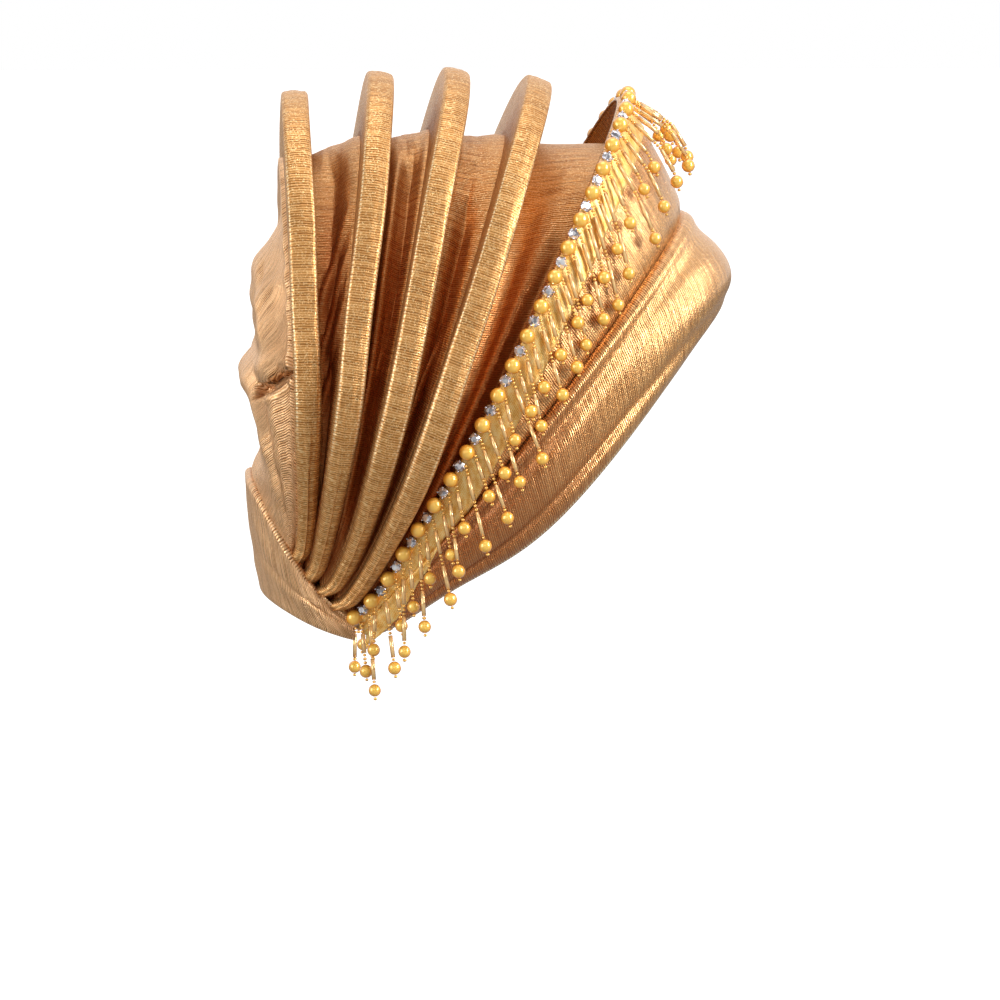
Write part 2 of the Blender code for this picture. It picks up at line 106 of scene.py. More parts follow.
def resample(points: Line, segments: int) -> Line:
    """Returns the same line with stations an equal length apart.

    Args:
        points: The line's points.
        segments: How many equal steps it gets.

    Returns:
        The new points, one more than the segments.
    """
    lengths = [0.0]
    for first, second in zip(points, points[1:]):
        lengths.append(lengths[-1] + (second - first).length)
    found = []
    index = 0
    for station in range(segments + 1):
        wanted = lengths[-1] * station / segments
        while index < len(points) - 2 and lengths[index + 1] < wanted:
            index += 1
        span = max(lengths[index + 1] - lengths[index], 1e-9)
        share = min(max((wanted - lengths[index]) / span, 0.0), 1.0)
        found.append(points[index].lerp(points[index + 1], share))
    return found


def line_length(line: Line) -> float:
    """The length along a line, in metres."""
    return sum((b - a).length for a, b in zip(line, line[1:]))


def whole_line(half: Line) -> Line:
    """A line from the right gather to the left one, from its right half."""
    return half + [Vector((point.x, -point.y, point.z)) for point in reversed(half[:-1])]


def tangents(line: Line) -> Line:
    """The line's direction at each of its points.

    Args:
        line: A line of points.

    Returns:
        One direction of length 1 for each point.
    """
    last = len(line) - 1
    return [
        (line[min(index + 1, last)] - line[max(index - 1, 0)]).normalized()
        for index in range(last + 1)
    ]


def between(first: Line, second: Line, share: float) -> Line:
    """The line that lies this share of the way from the first to the second."""
    return [a.lerp(b, share) for a, b in zip(first, second)]


def pushed(line: Line, directions: Line, lengths: list[float]) -> Line:
    """Each point moved its own length along its own direction."""
    return [point + way * length for point, way, length in zip(line, directions, lengths)]


def grid_normals(lines: list[Line]) -> list[Line]:
    """Directions away from the head, for lines that run from the back to the front.

    Args:
        lines: Lines of points, from the back to the front.

    Returns:
        One direction of length 1 for each point, row by row.
    """
    last_row = len(lines) - 1
    found = []
    for row, line in enumerate(lines):
        below = lines[max(row - 1, 0)]
        above = lines[min(row + 1, last_row)]
        found.append([
            (high - low).cross(way).normalized()
            for low, high, way in zip(below, above, tangents(line))
        ])
    return found


def embossed(flat: list[Line], relief: Callable[[int, int], float]) -> list[Line]:
    """Rows stood out from the head by a relief, which takes the row and the station.

    Args:
        flat: The rows before their relief.
        relief: How far a point stands out, from its row and its station.

    Returns:
        The rows with their relief.
    """
    return [
        pushed(line, ways, [relief(row, index) for index in range(len(line))])
        for row, (line, ways) in enumerate(zip(flat, grid_normals(flat)))
    ]


@dataclass(frozen=True)
class Arch:
    """A line over the head, from gather to gather, in shares of the cap's sizes."""

    top_x: float
    top_z: float
    foot_x: float
    foot_z: float
    foot_y: float
    width: float
    widest_at: float
    point: float
    bow: float

    def half(self, samples: int = 256) -> Line:
        """Points from the right foot to the top.

        Args:
            samples: How many equal steps the curve is worked out in.

        Returns:
            The points, one more than the steps.
        """
        foot = Vector((self.foot_x * CAP.length, 0, self.foot_z * CAP.height))
        top = Vector((self.top_x * CAP.length, 0, self.top_z * CAP.height))
        points = []
        for sample in range(samples + 1):
            share = sample / samples
            if share < 0.5:
                climb = self.widest_at * share * 2
                spread = self.foot_y + (self.width - self.foot_y) * math.sin(math.pi * share)
            else:
                angle = math.pi * (share - 0.5)
                climb = self.widest_at + (1 - self.widest_at) * math.sin(angle)
                spread = self.width * max(math.cos(angle), 0.0) ** self.point
            climb = min(climb, 1.0)
            point = foot.lerp(top, climb)
            bend = (1 - climb) ** 1.5 * math.sqrt(climb) / 0.325
            point.x += self.bow * CAP.length * bend
            point.y = -spread * CAP.half_width
            points.append(point)
        points[-1].y = 0.0
        return points

    def line(self) -> Line:
        """The whole arch at the cloth's stations."""
        return whole_line(resample(self.half(), HALF))

    def across(self) -> Vector:
        """The direction towards the front, square to the arch's plane.

        Returns:
            A direction of length 1.
        """
        rise_x = (self.top_x - self.foot_x) * CAP.length
        rise_z = (self.top_z - self.foot_z) * CAP.height
        return Vector((rise_z, 0, -rise_x)).normalized()


def srgb(code: str) -> tuple[float, float, float, float]:
    """Turns an sRGB hex code into a linear colour.

    Args:
        code: Six hex digits.

    Returns:
        Red, green, blue and an alpha of 1.
    """
    parts = [int(code[index : index + 2], 16) / 255 for index in (0, 2, 4)]
    linear = [p / 12.92 if p <= 0.04045 else ((p + 0.055) / 1.055) ** 2.4 for p in parts]
    return (linear[0], linear[1], linear[2], 1.0)


def add_node(
    tree: bpy.types.NodeTree,
    kind: str,
    settings: dict[str, object] | None = None,
    values: dict[int | str, object] | None = None,
    links: dict[int | str, Socket] | None = None,
) -> bpy.types.Node:
    """Adds a node to a tree.

    Args:
        tree: The tree that gets it.
        kind: The node's type.
        settings: Its properties.
        values: Values for its inputs.
        links: Sockets that feed its inputs.

    Returns:
        The node.
    """
    node = tree.nodes.new(kind)
    for name, value in (settings or {}).items():
        setattr(node, name, value)
    for key, value in (values or {}).items():
        node.inputs[key].default_value = value
    for key, socket in (links or {}).items():
        tree.links.new(socket, node.inputs[key])
    return node


def set_ramp(node: bpy.types.Node, stops: list[tuple[float, str]]) -> None:
    """Sets a color ramp's stops, each a place and a hex code.

    Args:
        node: The color ramp node.
        stops: Places from 0 to 1, each with a hex code.
    """
    ramp = node.color_ramp
    while len(ramp.elements) < len(stops):
        ramp.elements.new(0.5)
    for element, (place, code) in zip(ramp.elements, stops):
        element.position = place
        element.color = srgb(code)


def new_material(name: str) -> tuple[Finish, bpy.types.NodeTree, bpy.types.Node]:
    """A material with its node tree and its Principled shader.

    Args:
        name: Its name.

    Returns:
        The material, its tree and the shader.
    """
    material = bpy.data.materials.new(name)
    material.use_nodes = True
    tree = material.node_tree
    return material, tree, tree.nodes["Principled BSDF"]


@dataclass(frozen=True)
class CrinkledLame:
    """Crinkle-pleated metallic lamé: knitted metal yarn set in fine ribs, which breaks every
    highlight into short streaks and gives a dry glitter where it is lit evenly."""

    name: str
    # Rib colours: the ridge colour is painted light on the rib tops and the groove colour is painted
    # shade in the grooves, around the cloth's own body colour
    ridge: str = "E9B478"
    body: str = "CB8E4C"
    groove_shade: str = "8A5424"
    pitch_mm: float = 1.15
    rib_depth_mm: float = 0.30
    rib_strength: float = 0.8
    roughness: float = 0.42
    metallic: float = 0.68
    # How strongly the painted glints show in the colour
    glitter: float = 0.5
    coat: float = 0.0
    # The painted shade's colour, mixed in deep between the fins and low on the forehead band
    deep: str = "A4501C"

    def build(self) -> Finish:
        """Makes the material from the cloth's own UV map, which is in metres.

        Returns:
            The material.
        """
        material, tree, shader = new_material(self.name)
        place = add_node(tree, "ShaderNodeUVMap", {"uv_map": "cloth"}).outputs[0]
        split = add_node(tree, "ShaderNodeSeparateXYZ", links={0: place})
        # The ribs wander a little and fade in and out along their length
        wander = add_node(
            tree, "ShaderNodeTexNoise", {"noise_dimensions": "2D"},
            {"Scale": 45.0, "Detail": 2.0, "Roughness": 0.6}, {"Vector": place},
        ).outputs[0]
        stretched = add_node(
            tree, "ShaderNodeMapping", values={"Scale": (42.0, 1000.0 / self.pitch_mm, 1.0)},
            links={"Vector": place},
        ).outputs[0]
        streaks = add_node(
            tree, "ShaderNodeTexNoise", {"noise_dimensions": "2D"},
            {"Scale": 1.0, "Detail": 2.0, "Roughness": 0.5, "Distortion": 0.1},
            {"Vector": stretched},
        ).outputs[0]
        turn = add_node(
            tree, "ShaderNodeMath", {"operation": "MULTIPLY"},
            {1: math.tau * 1000.0 / self.pitch_mm}, {0: split.outputs["Y"]},
        ).outputs[0]
        wandered = add_node(
            tree, "ShaderNodeMath", {"operation": "MULTIPLY_ADD"}, {1: 7.0},
            {0: wander, 2: turn},
        ).outputs[0]
        wave = add_node(
            tree, "ShaderNodeMath", {"operation": "SINE"}, links={0: wandered}
        ).outputs[0]
        half_wave = add_node(
            tree, "ShaderNodeMath", {"operation": "MULTIPLY_ADD"}, {1: 0.20, 2: 0.20},
            {0: wave},
        ).outputs[0]
        ribs = add_node(
            tree, "ShaderNodeMath", {"operation": "MULTIPLY_ADD"}, {1: 0.6},
            {0: streaks, 2: half_wave},
        ).outputs[0]
        # The yarn's glitter, drawn at 0.45 mm, coarser than the real 0.2 mm, so that it shows:
        # painted glints, bright specks mixed into the colour; the same cells also vary the gloss and
        # the bump
        grains = add_node(
            tree, "ShaderNodeTexVoronoi", {"voronoi_dimensions": "2D"},
            {"Scale": 2200.0, "Randomness": 1.0}, {"Vector": place},
        )
        grain = add_node(
            tree, "ShaderNodeSeparateColor", links={0: grains.outputs["Color"]}
        ).outputs[0]
        painted_glint = add_node(
            tree, "ShaderNodeMapRange",
            values={"From Min": 0.72, "From Max": 1.0, "To Min": 0.0, "To Max": self.glitter},
            links={"Value": grain},
        ).outputs[0]
        # Painted light and shade on the ribs: the tops take the ridge colour and the grooves the
        # darker groove colour
        tone = add_node(tree, "ShaderNodeValToRGB", links={0: ribs})
        set_ramp(tone, [(0.24, self.groove_shade), (0.46, self.body), (0.74, self.ridge)])
        lit = add_node(
            tree, "ShaderNodeMix", {"data_type": "RGBA"}, {7: srgb("FFDDA0")},
            {0: painted_glint, 6: tone.outputs[0]},
        ).outputs[2]
        # Painted shade: deep between the fins, where the light has bounced from gold to gold, the
        # colour is mixed towards a darker, redder tone by the deep attribute
        depth = add_node(
            tree, "ShaderNodeAttribute", {"attribute_name": "deep", "attribute_type": "GEOMETRY"}
        ).outputs["Fac"]
        lit = add_node(
            tree, "ShaderNodeMix", {"data_type": "RGBA"}, {7: srgb(self.deep)},
            {0: depth, 6: lit},
        ).outputs[2]
        rim = add_node(
            tree, "ShaderNodeAttribute", {"attribute_name": "rim", "attribute_type": "GEOMETRY"}
        ).outputs["Fac"]
        # Whip stitches along an edge, one every 1.8 mm, that catch the light: the stitches are real,
        # and their near-white colour is a painted highlight
        stitch_turn = add_node(
            tree, "ShaderNodeMath", {"operation": "MULTIPLY"}, {1: math.tau / 0.0018},
            {0: split.outputs["Y"]},
        ).outputs[0]
        stitch_wave = add_node(
            tree, "ShaderNodeMath", {"operation": "SINE"}, links={0: stitch_turn}
        ).outputs[0]
        stitch = add_node(
            tree, "ShaderNodeMapRange",
            values={"From Min": -0.2, "From Max": 0.5, "To Min": 0.15, "To Max": 0.9},
            links={"Value": stitch_wave},
        ).outputs[0]
        stitch_highlight = add_node(
            tree, "ShaderNodeMath", {"operation": "MULTIPLY"}, links={0: stitch, 1: rim}
        ).outputs[0]
        with_stitch_highlight = add_node(
            tree, "ShaderNodeMix", {"data_type": "RGBA"}, {7: srgb("FFEFC4")},
            {0: stitch_highlight, 6: lit},
        ).outputs[2]
        tree.links.new(with_stitch_highlight, shader.inputs["Base Color"])
        grain_rough = add_node(
            tree, "ShaderNodeMapRange",
            values={"To Min": self.roughness + 0.10, "To Max": self.roughness - 0.12},
            links={"Value": grain},
        ).outputs[0]
        tree.links.new(grain_rough, shader.inputs["Roughness"])
        shader.inputs["Metallic"].default_value = self.metallic
        shader.inputs["Coat Weight"].default_value = self.coat
        shader.inputs["Coat Roughness"].default_value = 0.26
        bump = add_node(
            tree, "ShaderNodeBump", values={
                "Strength": self.rib_strength, "Distance": self.rib_depth_mm / 1000,
            }, links={"Height": ribs},
        )
        fine = add_node(
            tree, "ShaderNodeBump", values={"Strength": 0.5, "Distance": 0.00008},
            links={"Height": grain, "Normal": bump.outputs[0]},
        )
        tree.links.new(fine.outputs[0], shader.inputs["Normal"])
        tree.links.new(bump.outputs[0], shader.inputs["Coat Normal"])
        return material


@dataclass(frozen=True)
class MetalGauze:
    """Gold gauze ribbon: woven metal yarn with a satin face, bright yellow and slightly fuzzy."""

    name: str = "gold_gauze"

    def build(self) -> Finish:
        """Makes the material with a 0.9 mm net over soft mottling.

        Returns:
            The material.
        """
        material, tree, shader = new_material(self.name)
        place = add_node(tree, "ShaderNodeUVMap", {"uv_map": "cloth"}).outputs[0]
        net = add_node(
            tree, "ShaderNodeTexVoronoi",
            {"voronoi_dimensions": "2D", "feature": "DISTANCE_TO_EDGE"},
            {"Scale": 1100.0, "Randomness": 0.55}, {"Vector": place},
        ).outputs["Distance"]
        cloud = add_node(
            tree, "ShaderNodeTexNoise", {"noise_dimensions": "2D"},
            {"Scale": 260.0, "Detail": 3.0}, {"Vector": place},
        ).outputs[0]
        yarn = add_node(
            tree, "ShaderNodeMapRange",
            values={"From Min": 0.02, "From Max": 0.22, "To Min": 1.0, "To Max": 0.0},
            links={"Value": net},
        ).outputs[0]
        both = add_node(
            tree, "ShaderNodeMath", {"operation": "MULTIPLY_ADD"}, {1: 0.35},
            {0: yarn, 2: cloud},
        ).outputs[0]
        tone = add_node(tree, "ShaderNodeValToRGB", links={0: both})
        set_ramp(tone, [(0.30, "E0A03C"), (0.55, "F6C05C"), (0.85, "FFE6A0")])
        tree.links.new(tone.outputs[0], shader.inputs["Base Color"])
        shader.inputs["Metallic"].default_value = 0.45
        shader.inputs["Roughness"].default_value = 0.38
        bump = add_node(
            tree, "ShaderNodeBump", values={"Strength": 0.6, "Distance": 0.00015},
            links={"Height": both},
        )
        tree.links.new(bump.outputs[0], shader.inputs["Normal"])
        return material


@dataclass(frozen=True)
class LacqueredPearl:
    """Imitation pearl: a glass bead under nacre lacquer, golden, with painted shade that turns its
    limb a deep amber.
    """

    name: str = "pearl_nacre"
    face: str = "FFCB58"
    middle: str = "E89C2E"
    limb: str = "B8661A"

    def build(self) -> Finish:
        """Makes the material: its limb is painted darker by the view angle, as shade, and a clear
        coat gives the sharp highlight.

        Returns:
            The material.
        """
        material, tree, shader = new_material(self.name)
        # Painted shade: the colour darkens from face to limb by the view angle
        facing = add_node(
            tree, "ShaderNodeLayerWeight", values={"Blend": 0.42}
        ).outputs["Facing"]
        place = add_node(tree, "ShaderNodeTexCoord").outputs["Object"]
        cloud = add_node(
            tree, "ShaderNodeTexNoise", values={"Scale": 700.0, "Detail": 2.0},
            links={"Vector": place},
        ).outputs[0]
        shade = add_node(
            tree, "ShaderNodeMath", {"operation": "MULTIPLY_ADD"}, {1: 0.12, 2: -0.06},
            {0: cloud},
        ).outputs[0]
        both = add_node(
            tree, "ShaderNodeMath", {"operation": "ADD"}, links={0: facing, 1: shade}
        ).outputs[0]
        tone = add_node(tree, "ShaderNodeValToRGB", links={0: both})
        set_ramp(tone, [(0.05, self.face), (0.55, self.middle), (0.95, self.limb)])
        tree.links.new(tone.outputs[0], shader.inputs["Base Color"])
        shader.inputs["Metallic"].default_value = 0.25
        shader.inputs["Roughness"].default_value = 0.28
        shader.inputs["Coat Weight"].default_value = 1.0
        shader.inputs["Coat Roughness"].default_value = 0.06
        return material


@dataclass(frozen=True)
class LinedGlass:
    """Silver-lined glass, for bugles and seed beads: a core painted bright for the lining's
    reflection, and rims painted dark as shade.
    """

    name: str
    core: str
    rim: str
    roughness: float = 0.14

    def build(self) -> Finish:
        """Makes the material: by the view angle, the middle is painted bright for the lining's
        reflection and the rims are painted dark as shade.

        Returns:
            The material.
        """
        material, tree, shader = new_material(self.name)
        facing = add_node(
            tree, "ShaderNodeLayerWeight", values={"Blend": 0.5}
        ).outputs["Facing"]
        tone = add_node(tree, "ShaderNodeValToRGB", links={0: facing})
        set_ramp(tone, [(0.12, self.core), (0.8, self.rim)])
        tree.links.new(tone.outputs[0], shader.inputs["Base Color"])
        shader.inputs["Metallic"].default_value = 0.45
        shader.inputs["Roughness"].default_value = self.roughness
        shader.inputs["Coat Weight"].default_value = 0.6
        shader.inputs["Coat Roughness"].default_value = 0.04
        return material


@dataclass(frozen=True)
class FoiledCrystal:
    """Foil-backed cut crystal: mirror-like facets with a faint lilac cast."""

    name: str = "foiled_crystal"

    def build(self) -> Finish:
        """Makes the material: each facet takes its own tone from its place.

        Returns:
            The material.
        """
        material, tree, shader = new_material(self.name)
        place = add_node(tree, "ShaderNodeTexCoord").outputs["Object"]
        facets = add_node(
            tree, "ShaderNodeTexVoronoi", values={"Scale": 750.0}, links={"Vector": place}
        )
        grain = add_node(
            tree, "ShaderNodeSeparateColor", links={0: facets.outputs["Color"]}
        ).outputs[0]
        tone = add_node(tree, "ShaderNodeValToRGB", links={0: grain})
        set_ramp(tone, [(0.15, "8C8A92"), (0.5, "E4E2E8"), (0.8, "FFFFFF")])
        tree.links.new(tone.outputs[0], shader.inputs["Base Color"])
        shader.inputs["Metallic"].default_value = 0.65
        shader.inputs["Roughness"].default_value = 0.05
        shader.inputs["Coat Weight"].default_value = 1.0
        return material


@dataclass(frozen=True)
class PlatedMetal:
    """Bright plated metal, slightly brushed by handling, which gives a soft mirror."""

    name: str
    color: str
    roughness: float

    def build(self) -> Finish:
        """Makes the material with a fine mottling in its gloss.

        Returns:
            The material.
        """
        material, tree, shader = new_material(self.name)
        place = add_node(tree, "ShaderNodeTexCoord").outputs["Object"]
        cloud = add_node(
            tree, "ShaderNodeTexNoise", values={"Scale": 1500.0, "Detail": 2.0},
            links={"Vector": place},
        ).outputs[0]
        rough = add_node(
            tree, "ShaderNodeMapRange",
            values={"To Min": self.roughness * 0.7, "To Max": self.roughness * 1.4},
            links={"Value": cloud},
        ).outputs[0]
        shader.inputs["Base Color"].default_value = srgb(self.color)
        tree.links.new(rough, shader.inputs["Roughness"])
        shader.inputs["Metallic"].default_value = 1.0
        return material


def link_data(name: str, data: bpy.types.Mesh, material: Finish,
              smooth: bool = True) -> bpy.types.Object:
    """Turns mesh data into an object at the origin.

    Args:
        name: The piece's name.
        data: Its mesh.
        material: Its finish.
        smooth: Whether its faces are shaded smooth.

    Returns:
        The object.
    """
    data.materials.append(material)
    data.polygons.foreach_set("use_smooth", [smooth] * len(data.polygons))
    piece = bpy.data.objects.new(name, data)
    bpy.context.scene.collection.objects.link(piece)
    return piece


def link_mesh(name: str, mesh: Form, material: Finish) -> bpy.types.Object:
    """Turns a bmesh into a smooth object at the origin, and frees it.

    Args:
        name: The piece's name.
        mesh: The bmesh.
        material: Its finish.

    Returns:
        The object.
    """
    data = bpy.data.meshes.new(name)
    mesh.to_mesh(data)
    mesh.free()
    return link_data(name, data, material)


def fit(piece: bpy.types.Object, slot: Slot, *nodes: str) -> None:
    """Rides a piece on the cap and hides the CAD nodes that it stands for.

    Args:
        piece: The piece.
        slot: Its material slot; not used.
        nodes: The CAD nodes that it stands for, if any.
    """
    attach(piece, "root")
    if nodes:
        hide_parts(*nodes)
    triangles = sum(len(face.vertices) - 2 for face in piece.data.polygons)
    LOG.info("%s: %d triangles", piece.name, triangles)


def grid_mesh(
    rows: list[Line], places: list[list[tuple[float, float]]], layers: dict[str, list[list[float]]]
) -> tuple[Form, list[dict[int, bmesh.types.BMVert]]]:
    """Lays a grid of faces on rows of points.

    Args:
        rows: The points, row by row.
        places: Each point's place in the UV map "cloth", in metres.
        layers: Numbers to keep at the points, by name.

    Returns:
        The mesh, and its corners row by row.
    """
    count = len(rows) - 1
    stations = len(rows[0]) - 1
    mesh = bmesh.new()
    bmesh.ops.create_grid(mesh, x_segments=stations, y_segments=count, size=1.0)
    uv = mesh.loops.layers.uv.new("cloth")
    kept = [(mesh.verts.layers.float.new(name), table) for name, table in layers.items()]
    corners: list[dict[int, bmesh.types.BMVert]] = [{} for _ in rows]
    found = {}
    for vert in mesh.verts:
        column = round((vert.co.x + 1) / 2 * stations)
        row = round((vert.co.y + 1) / 2 * count)
        corners[row][column] = vert
        found[vert] = places[row][column]
        for layer, table in kept:
            vert[layer] = table[row][column]
        vert.co = rows[row][column]
    for face in mesh.faces:
        for loop in face.loops:
            loop[uv].uv = found[loop.vert]
    return mesh, corners


@dataclass
class ClothSheet:
    """One laid cloth: rows of points from its back or lower edge to its front or upper one.

    Args:
        name: The piece's name.
        rows: Lines of points, all with the same number of stations.
        tilt: How far the ribs lean along the cloth for each metre across it.
        wall: The cloth's thickness, laid inwards.
        rims: Rows that carry a stitched edge.
        slant: A lean of the ribs by climb and distance from the last row, instead of a tilt.
        painted_shade_weights: How much painted shade each point gets, from 0 to 1, most deep between
            the fins.
    """

    name: str
    rows: list[Line]
    tilt: float = 0.0
    wall: float = 0.0012
    rims: tuple[int, ...] = ()
    slant: Callable[[float, float], float] | None = None
    painted_shade_weights: list[list[float]] = field(default_factory=list)

    def lay(self, material: Finish, node: str,
            slot: Slot = Slot.CLOTH) -> None:
        """Makes the cloth with a live wall, and works out the size that it was cut to.

        Args:
            material: Its finish.
            node: The CAD node that it stands for.
            slot: Its material slot.
        """
        width, length = self._lengths()
        spans = self._widths()
        stations = len(self.rows[0]) - 1
        places = []
        for across in spans:
            row = []
            for column in range(stations + 1):
                along = length * min(column, stations - column) / stations
                lean = self.tilt * across
                if self.slant:
                    lean = self.slant(along / length * 2, spans[-1] - across)
                row.append((across, along + lean))
            places.append(row)
        rims = [
            [1.0 if row in self.rims else 0.0] * (stations + 1) for row in range(len(self.rows))
        ]
        painted_shade_weights = self.painted_shade_weights or [[0.0] * (stations + 1)] * len(self.rows)
        mesh, _ = grid_mesh(self.rows, places, {"rim": rims, "deep": painted_shade_weights})
        piece = link_mesh(self.name, mesh, material)
        wall = piece.modifiers.new("wall", "SOLIDIFY")
        wall.thickness = self.wall
        wall.offset = -1.0
        fit(piece, slot, node)
        area = sum(face.area for face in piece.data.polygons)
        width = max(width, area / length)

    def _widths(self) -> list[float]:
        """Distance across the cloth at each row, measured where it is widest.

        Returns:
            The distances, from 0 at the first row.
        """
        middle = len(self.rows[0]) // 2
        quarter = len(self.rows[0]) // 4
        found = [0.0]
        for first, second in zip(self.rows, self.rows[1:]):
            step = max(
                (second[middle] - first[middle]).length, (second[quarter] - first[quarter]).length
            )
            found.append(found[-1] + step)
        return found

    def _lengths(self) -> tuple[float, float]:
        """The cloth's greatest width and its longest row."""
        return self._widths()[-1], max(line_length(row) for row in self.rows)


def rolled(rows: list[Line], radius: float, steps: int = 5, turn: float = 150.0) -> list[Line]:
    """Rows that carry the last edge round and under in a soft roll.

    Args:
        rows: The cloth's rows; the roll goes on past the last one.
        radius: The roll's radius in metres.
        steps: How many rows it gets.
        turn: How far it turns, in degrees.

    Returns:
        The extra rows, in order.
    """
    edge = rows[-1]
    inner = rows[-2]
    ways = tangents(edge)
    outs = []
    normals = []
    for point, before, way in zip(edge, inner, ways):
        out = point - before
        out = (out - way * out.dot(way)).normalized()
        normal = out.cross(way).normalized()
        if normal.dot(Vector((point.x, point.y, point.z + 0.08))) < 0:
            normal.negate()
        outs.append(out)
        normals.append(normal)
    found = []
    for step in range(1, steps + 1):
        angle = math.radians(turn) * step / steps
        found.append([
            point + out * radius * math.sin(angle) - normal * radius * (1 - math.cos(angle))
            for point, out, normal in zip(edge, outs, normals)
        ])
    return found


def rolled_both(rows: list[Line], first: float, last: float) -> list[Line]:
    """The rows with both edges turned under in soft rolls of these radii."""
    low_roll = rolled(list(reversed(rows)), first)
    return list(reversed(low_roll)) + rows + rolled(rows, last)


@dataclass(frozen=True)
class Crease:
    """A fold line along a cloth: where it lies, how wide and how deep, and over what climb."""

    across: float
    width: float
    relief: float
    low: float = 0.05
    high: float = 0.95
    drift: float = 0.0

    def at(self, share: float, climb: float) -> float:
        """How far the cloth stands out here, in metres.

        Args:
            share: How far across the cloth, from 0 to 1.
            climb: Height along the arch, from 0 at a foot to 1 at the top.

        Returns:
            The relief of this fold alone.
        """
        middle = self.across + self.drift * (climb - 0.5)
        fade = smooth_step((climb - self.low) / 0.15) * smooth_step((self.high - climb) / 0.15)
        return self.relief * hump(share, middle, self.width) * fade


@dataclass
class Fin:
    """A padded fin that arches over the crown from gather to gather."""

    name: str
    arch: Arch
    thickness: float = 0.011
    foot_thickness: float = 0.0066
    top_rise: float = 0.0305
    side_rise: float = 0.018
    foot_rise: float = 0.007
    flare: float = 0.0005
    foot_corner: float = 0.0046
    top_corner: float = 0.0021
    seed: int = 1
    tail: int = 5
    line: Line = field(default_factory=list)
    back: Line = field(default_factory=list)
    front: Line = field(default_factory=list)
    outward: Line = field(default_factory=list)

    def __post_init__(self) -> None:
        """Lays out the seat on the crown."""
        self.line = self.arch.line()
        across = self.arch.across()
        self.outward = [across.cross(way).normalized() for way in tangents(self.line)]
        halves = [self.half_thickness(climb_of(index)) for index in range(STATIONS + 1)]
        self.back = pushed(self.line, [-across] * len(halves), halves)
        self.front = pushed(self.line, [across] * len(halves), halves)

    def tailed(self, line: Line) -> Line:
        """The seat with both ends run on behind the rear band.

        Args:
            line: The seat, from gather to gather.

        Returns:
            The longer line.
        """
        found = list(line)
        way = (line[0] - line[1]).normalized()
        for step in range(1, self.tail + 1):
            spot = line[0] + way * 0.0018 * step
            spot.y += 0.0006 * step * step
            found.insert(0, spot)
            found.append(Vector((spot.x, -spot.y, spot.z)))
        return found

    def half_thickness(self, climb: float) -> float:
        """Half the plate's thickness at this climb."""
        spread = self.thickness - self.foot_thickness
        return (self.foot_thickness + spread * smooth_step(climb / 0.35)) / 2

    def rise(self, climb: float) -> float:
        """How far the plate stands out from the crown at this climb."""
        low = self.foot_rise + (self.side_rise - self.foot_rise) * smooth_step(climb / 0.45)
        return low + (self.top_rise - self.side_rise) * share_above(climb, 0.45)

    def profile(self, climb: float) -> list[tuple[float, float, float]]:
        """The plate's section: offset across, height, and how much of it is the stitched edge.

        Args:
            climb: Height along the arch, from 0 at a foot to 1 at the top.

        Returns:
            The points from one foot of the section over its edge to the other.
        """
        half = self.half_thickness(climb)
        rise = self.rise(climb)
        flare = self.flare
        shrink = (self.top_corner - self.foot_corner) * smooth_step((climb - 0.10) / 0.55)
        corner = self.foot_corner + shrink
        corner = min(corner, half + flare - 0.0003, rise * 0.6)
        crown = 0.0009 - 0.0005 * smooth_step(climb / 0.6)
        right = []
        for step in range(6):
            height = -0.001 + (rise - corner + 0.001) * step / 6
            right.append((half + flare * smooth_step(step / 6), height, 0.0))
        for step in range(7):
            angle = math.radians(90 * step / 6)
            across = half + flare - corner * (1 - math.cos(angle))
            rim = 1.0 if step == 3 else 0.0
            right.append((across, rise - corner * (1 - math.sin(angle)), rim))
        edge = half + flare - corner
        for step in range(1, 4):
            share = step / 4
            right.append((edge * (1 - share), rise + crown * math.sin(math.pi * share / 2), 0.0))
        top = [(0.0, rise + crown, 0.0)]
        return right + top + [(-across, height, rim) for across, height, rim in reversed(right)]

    def build(self, material: Finish) -> None:
        """Sweeps the section along the seat and closes its underside and both ends.

        Args:
            material: Its finish.
        """
        across = self.arch.across()
        line = self.tailed(self.line)
        outward = [self.outward[0]] * self.tail + self.outward + [self.outward[-1]] * self.tail
        foot = [0.0] * self.tail
        climbs = foot + [climb_of(index) for index in range(STATIONS + 1)] + foot
        sections = [self.profile(climb) for climb in climbs]
        middle = sections[len(sections) // 2]
        around = [0.0]
        for first, second in zip(middle, middle[1:]):
            around.append(around[-1] + math.dist(first[:2], second[:2]))
        step = line_length(line) / (len(line) - 1)
        rows = []
        rims = []
        for row in range(len(around)):
            points = []
            marks = []
            for column, climb in enumerate(climbs):
                offset, height, rim = sections[column][row]
                sway = noise.noise(Vector((self.seed * 7.3, column * 0.045, 0.0))) * 0.0009
                sway *= smooth_step(climb / 0.3) * height / self.rise(climb)
                puff = noise.noise(Vector((row * 0.35, column * 0.16, self.seed * 3.1))) * 0.0003
                lifted = outward[column] * (height + puff)
                points.append(line[column] + across * (offset + sway) + lifted)
                fade = smooth_step((0.86 - climb) / 0.12) * smooth_step((climb - 0.22) / 0.14)
                marks.append(rim * fade)
            rows.append(points)
            rims.append(marks)
        places = [[(reach, step * column) for column in range(len(line))] for reach in around]
        mesh, corners = grid_mesh(rows, places, {"rim": rims})
        low = corners[0]
        high = corners[-1]
        for column in range(len(line) - 1):
            mesh.faces.new((low[column], high[column], high[column + 1], low[column + 1]))
        ends = [edge for edge in mesh.edges if edge.is_boundary]
        bmesh.ops.holes_fill(mesh, edges=ends, sides=0)
        bmesh.ops.recalc_face_normals(mesh, faces=mesh.faces)
        piece = link_mesh(f"{self.name}_lame", mesh, material)
        fit(piece, Slot.CLOTH, self.name)


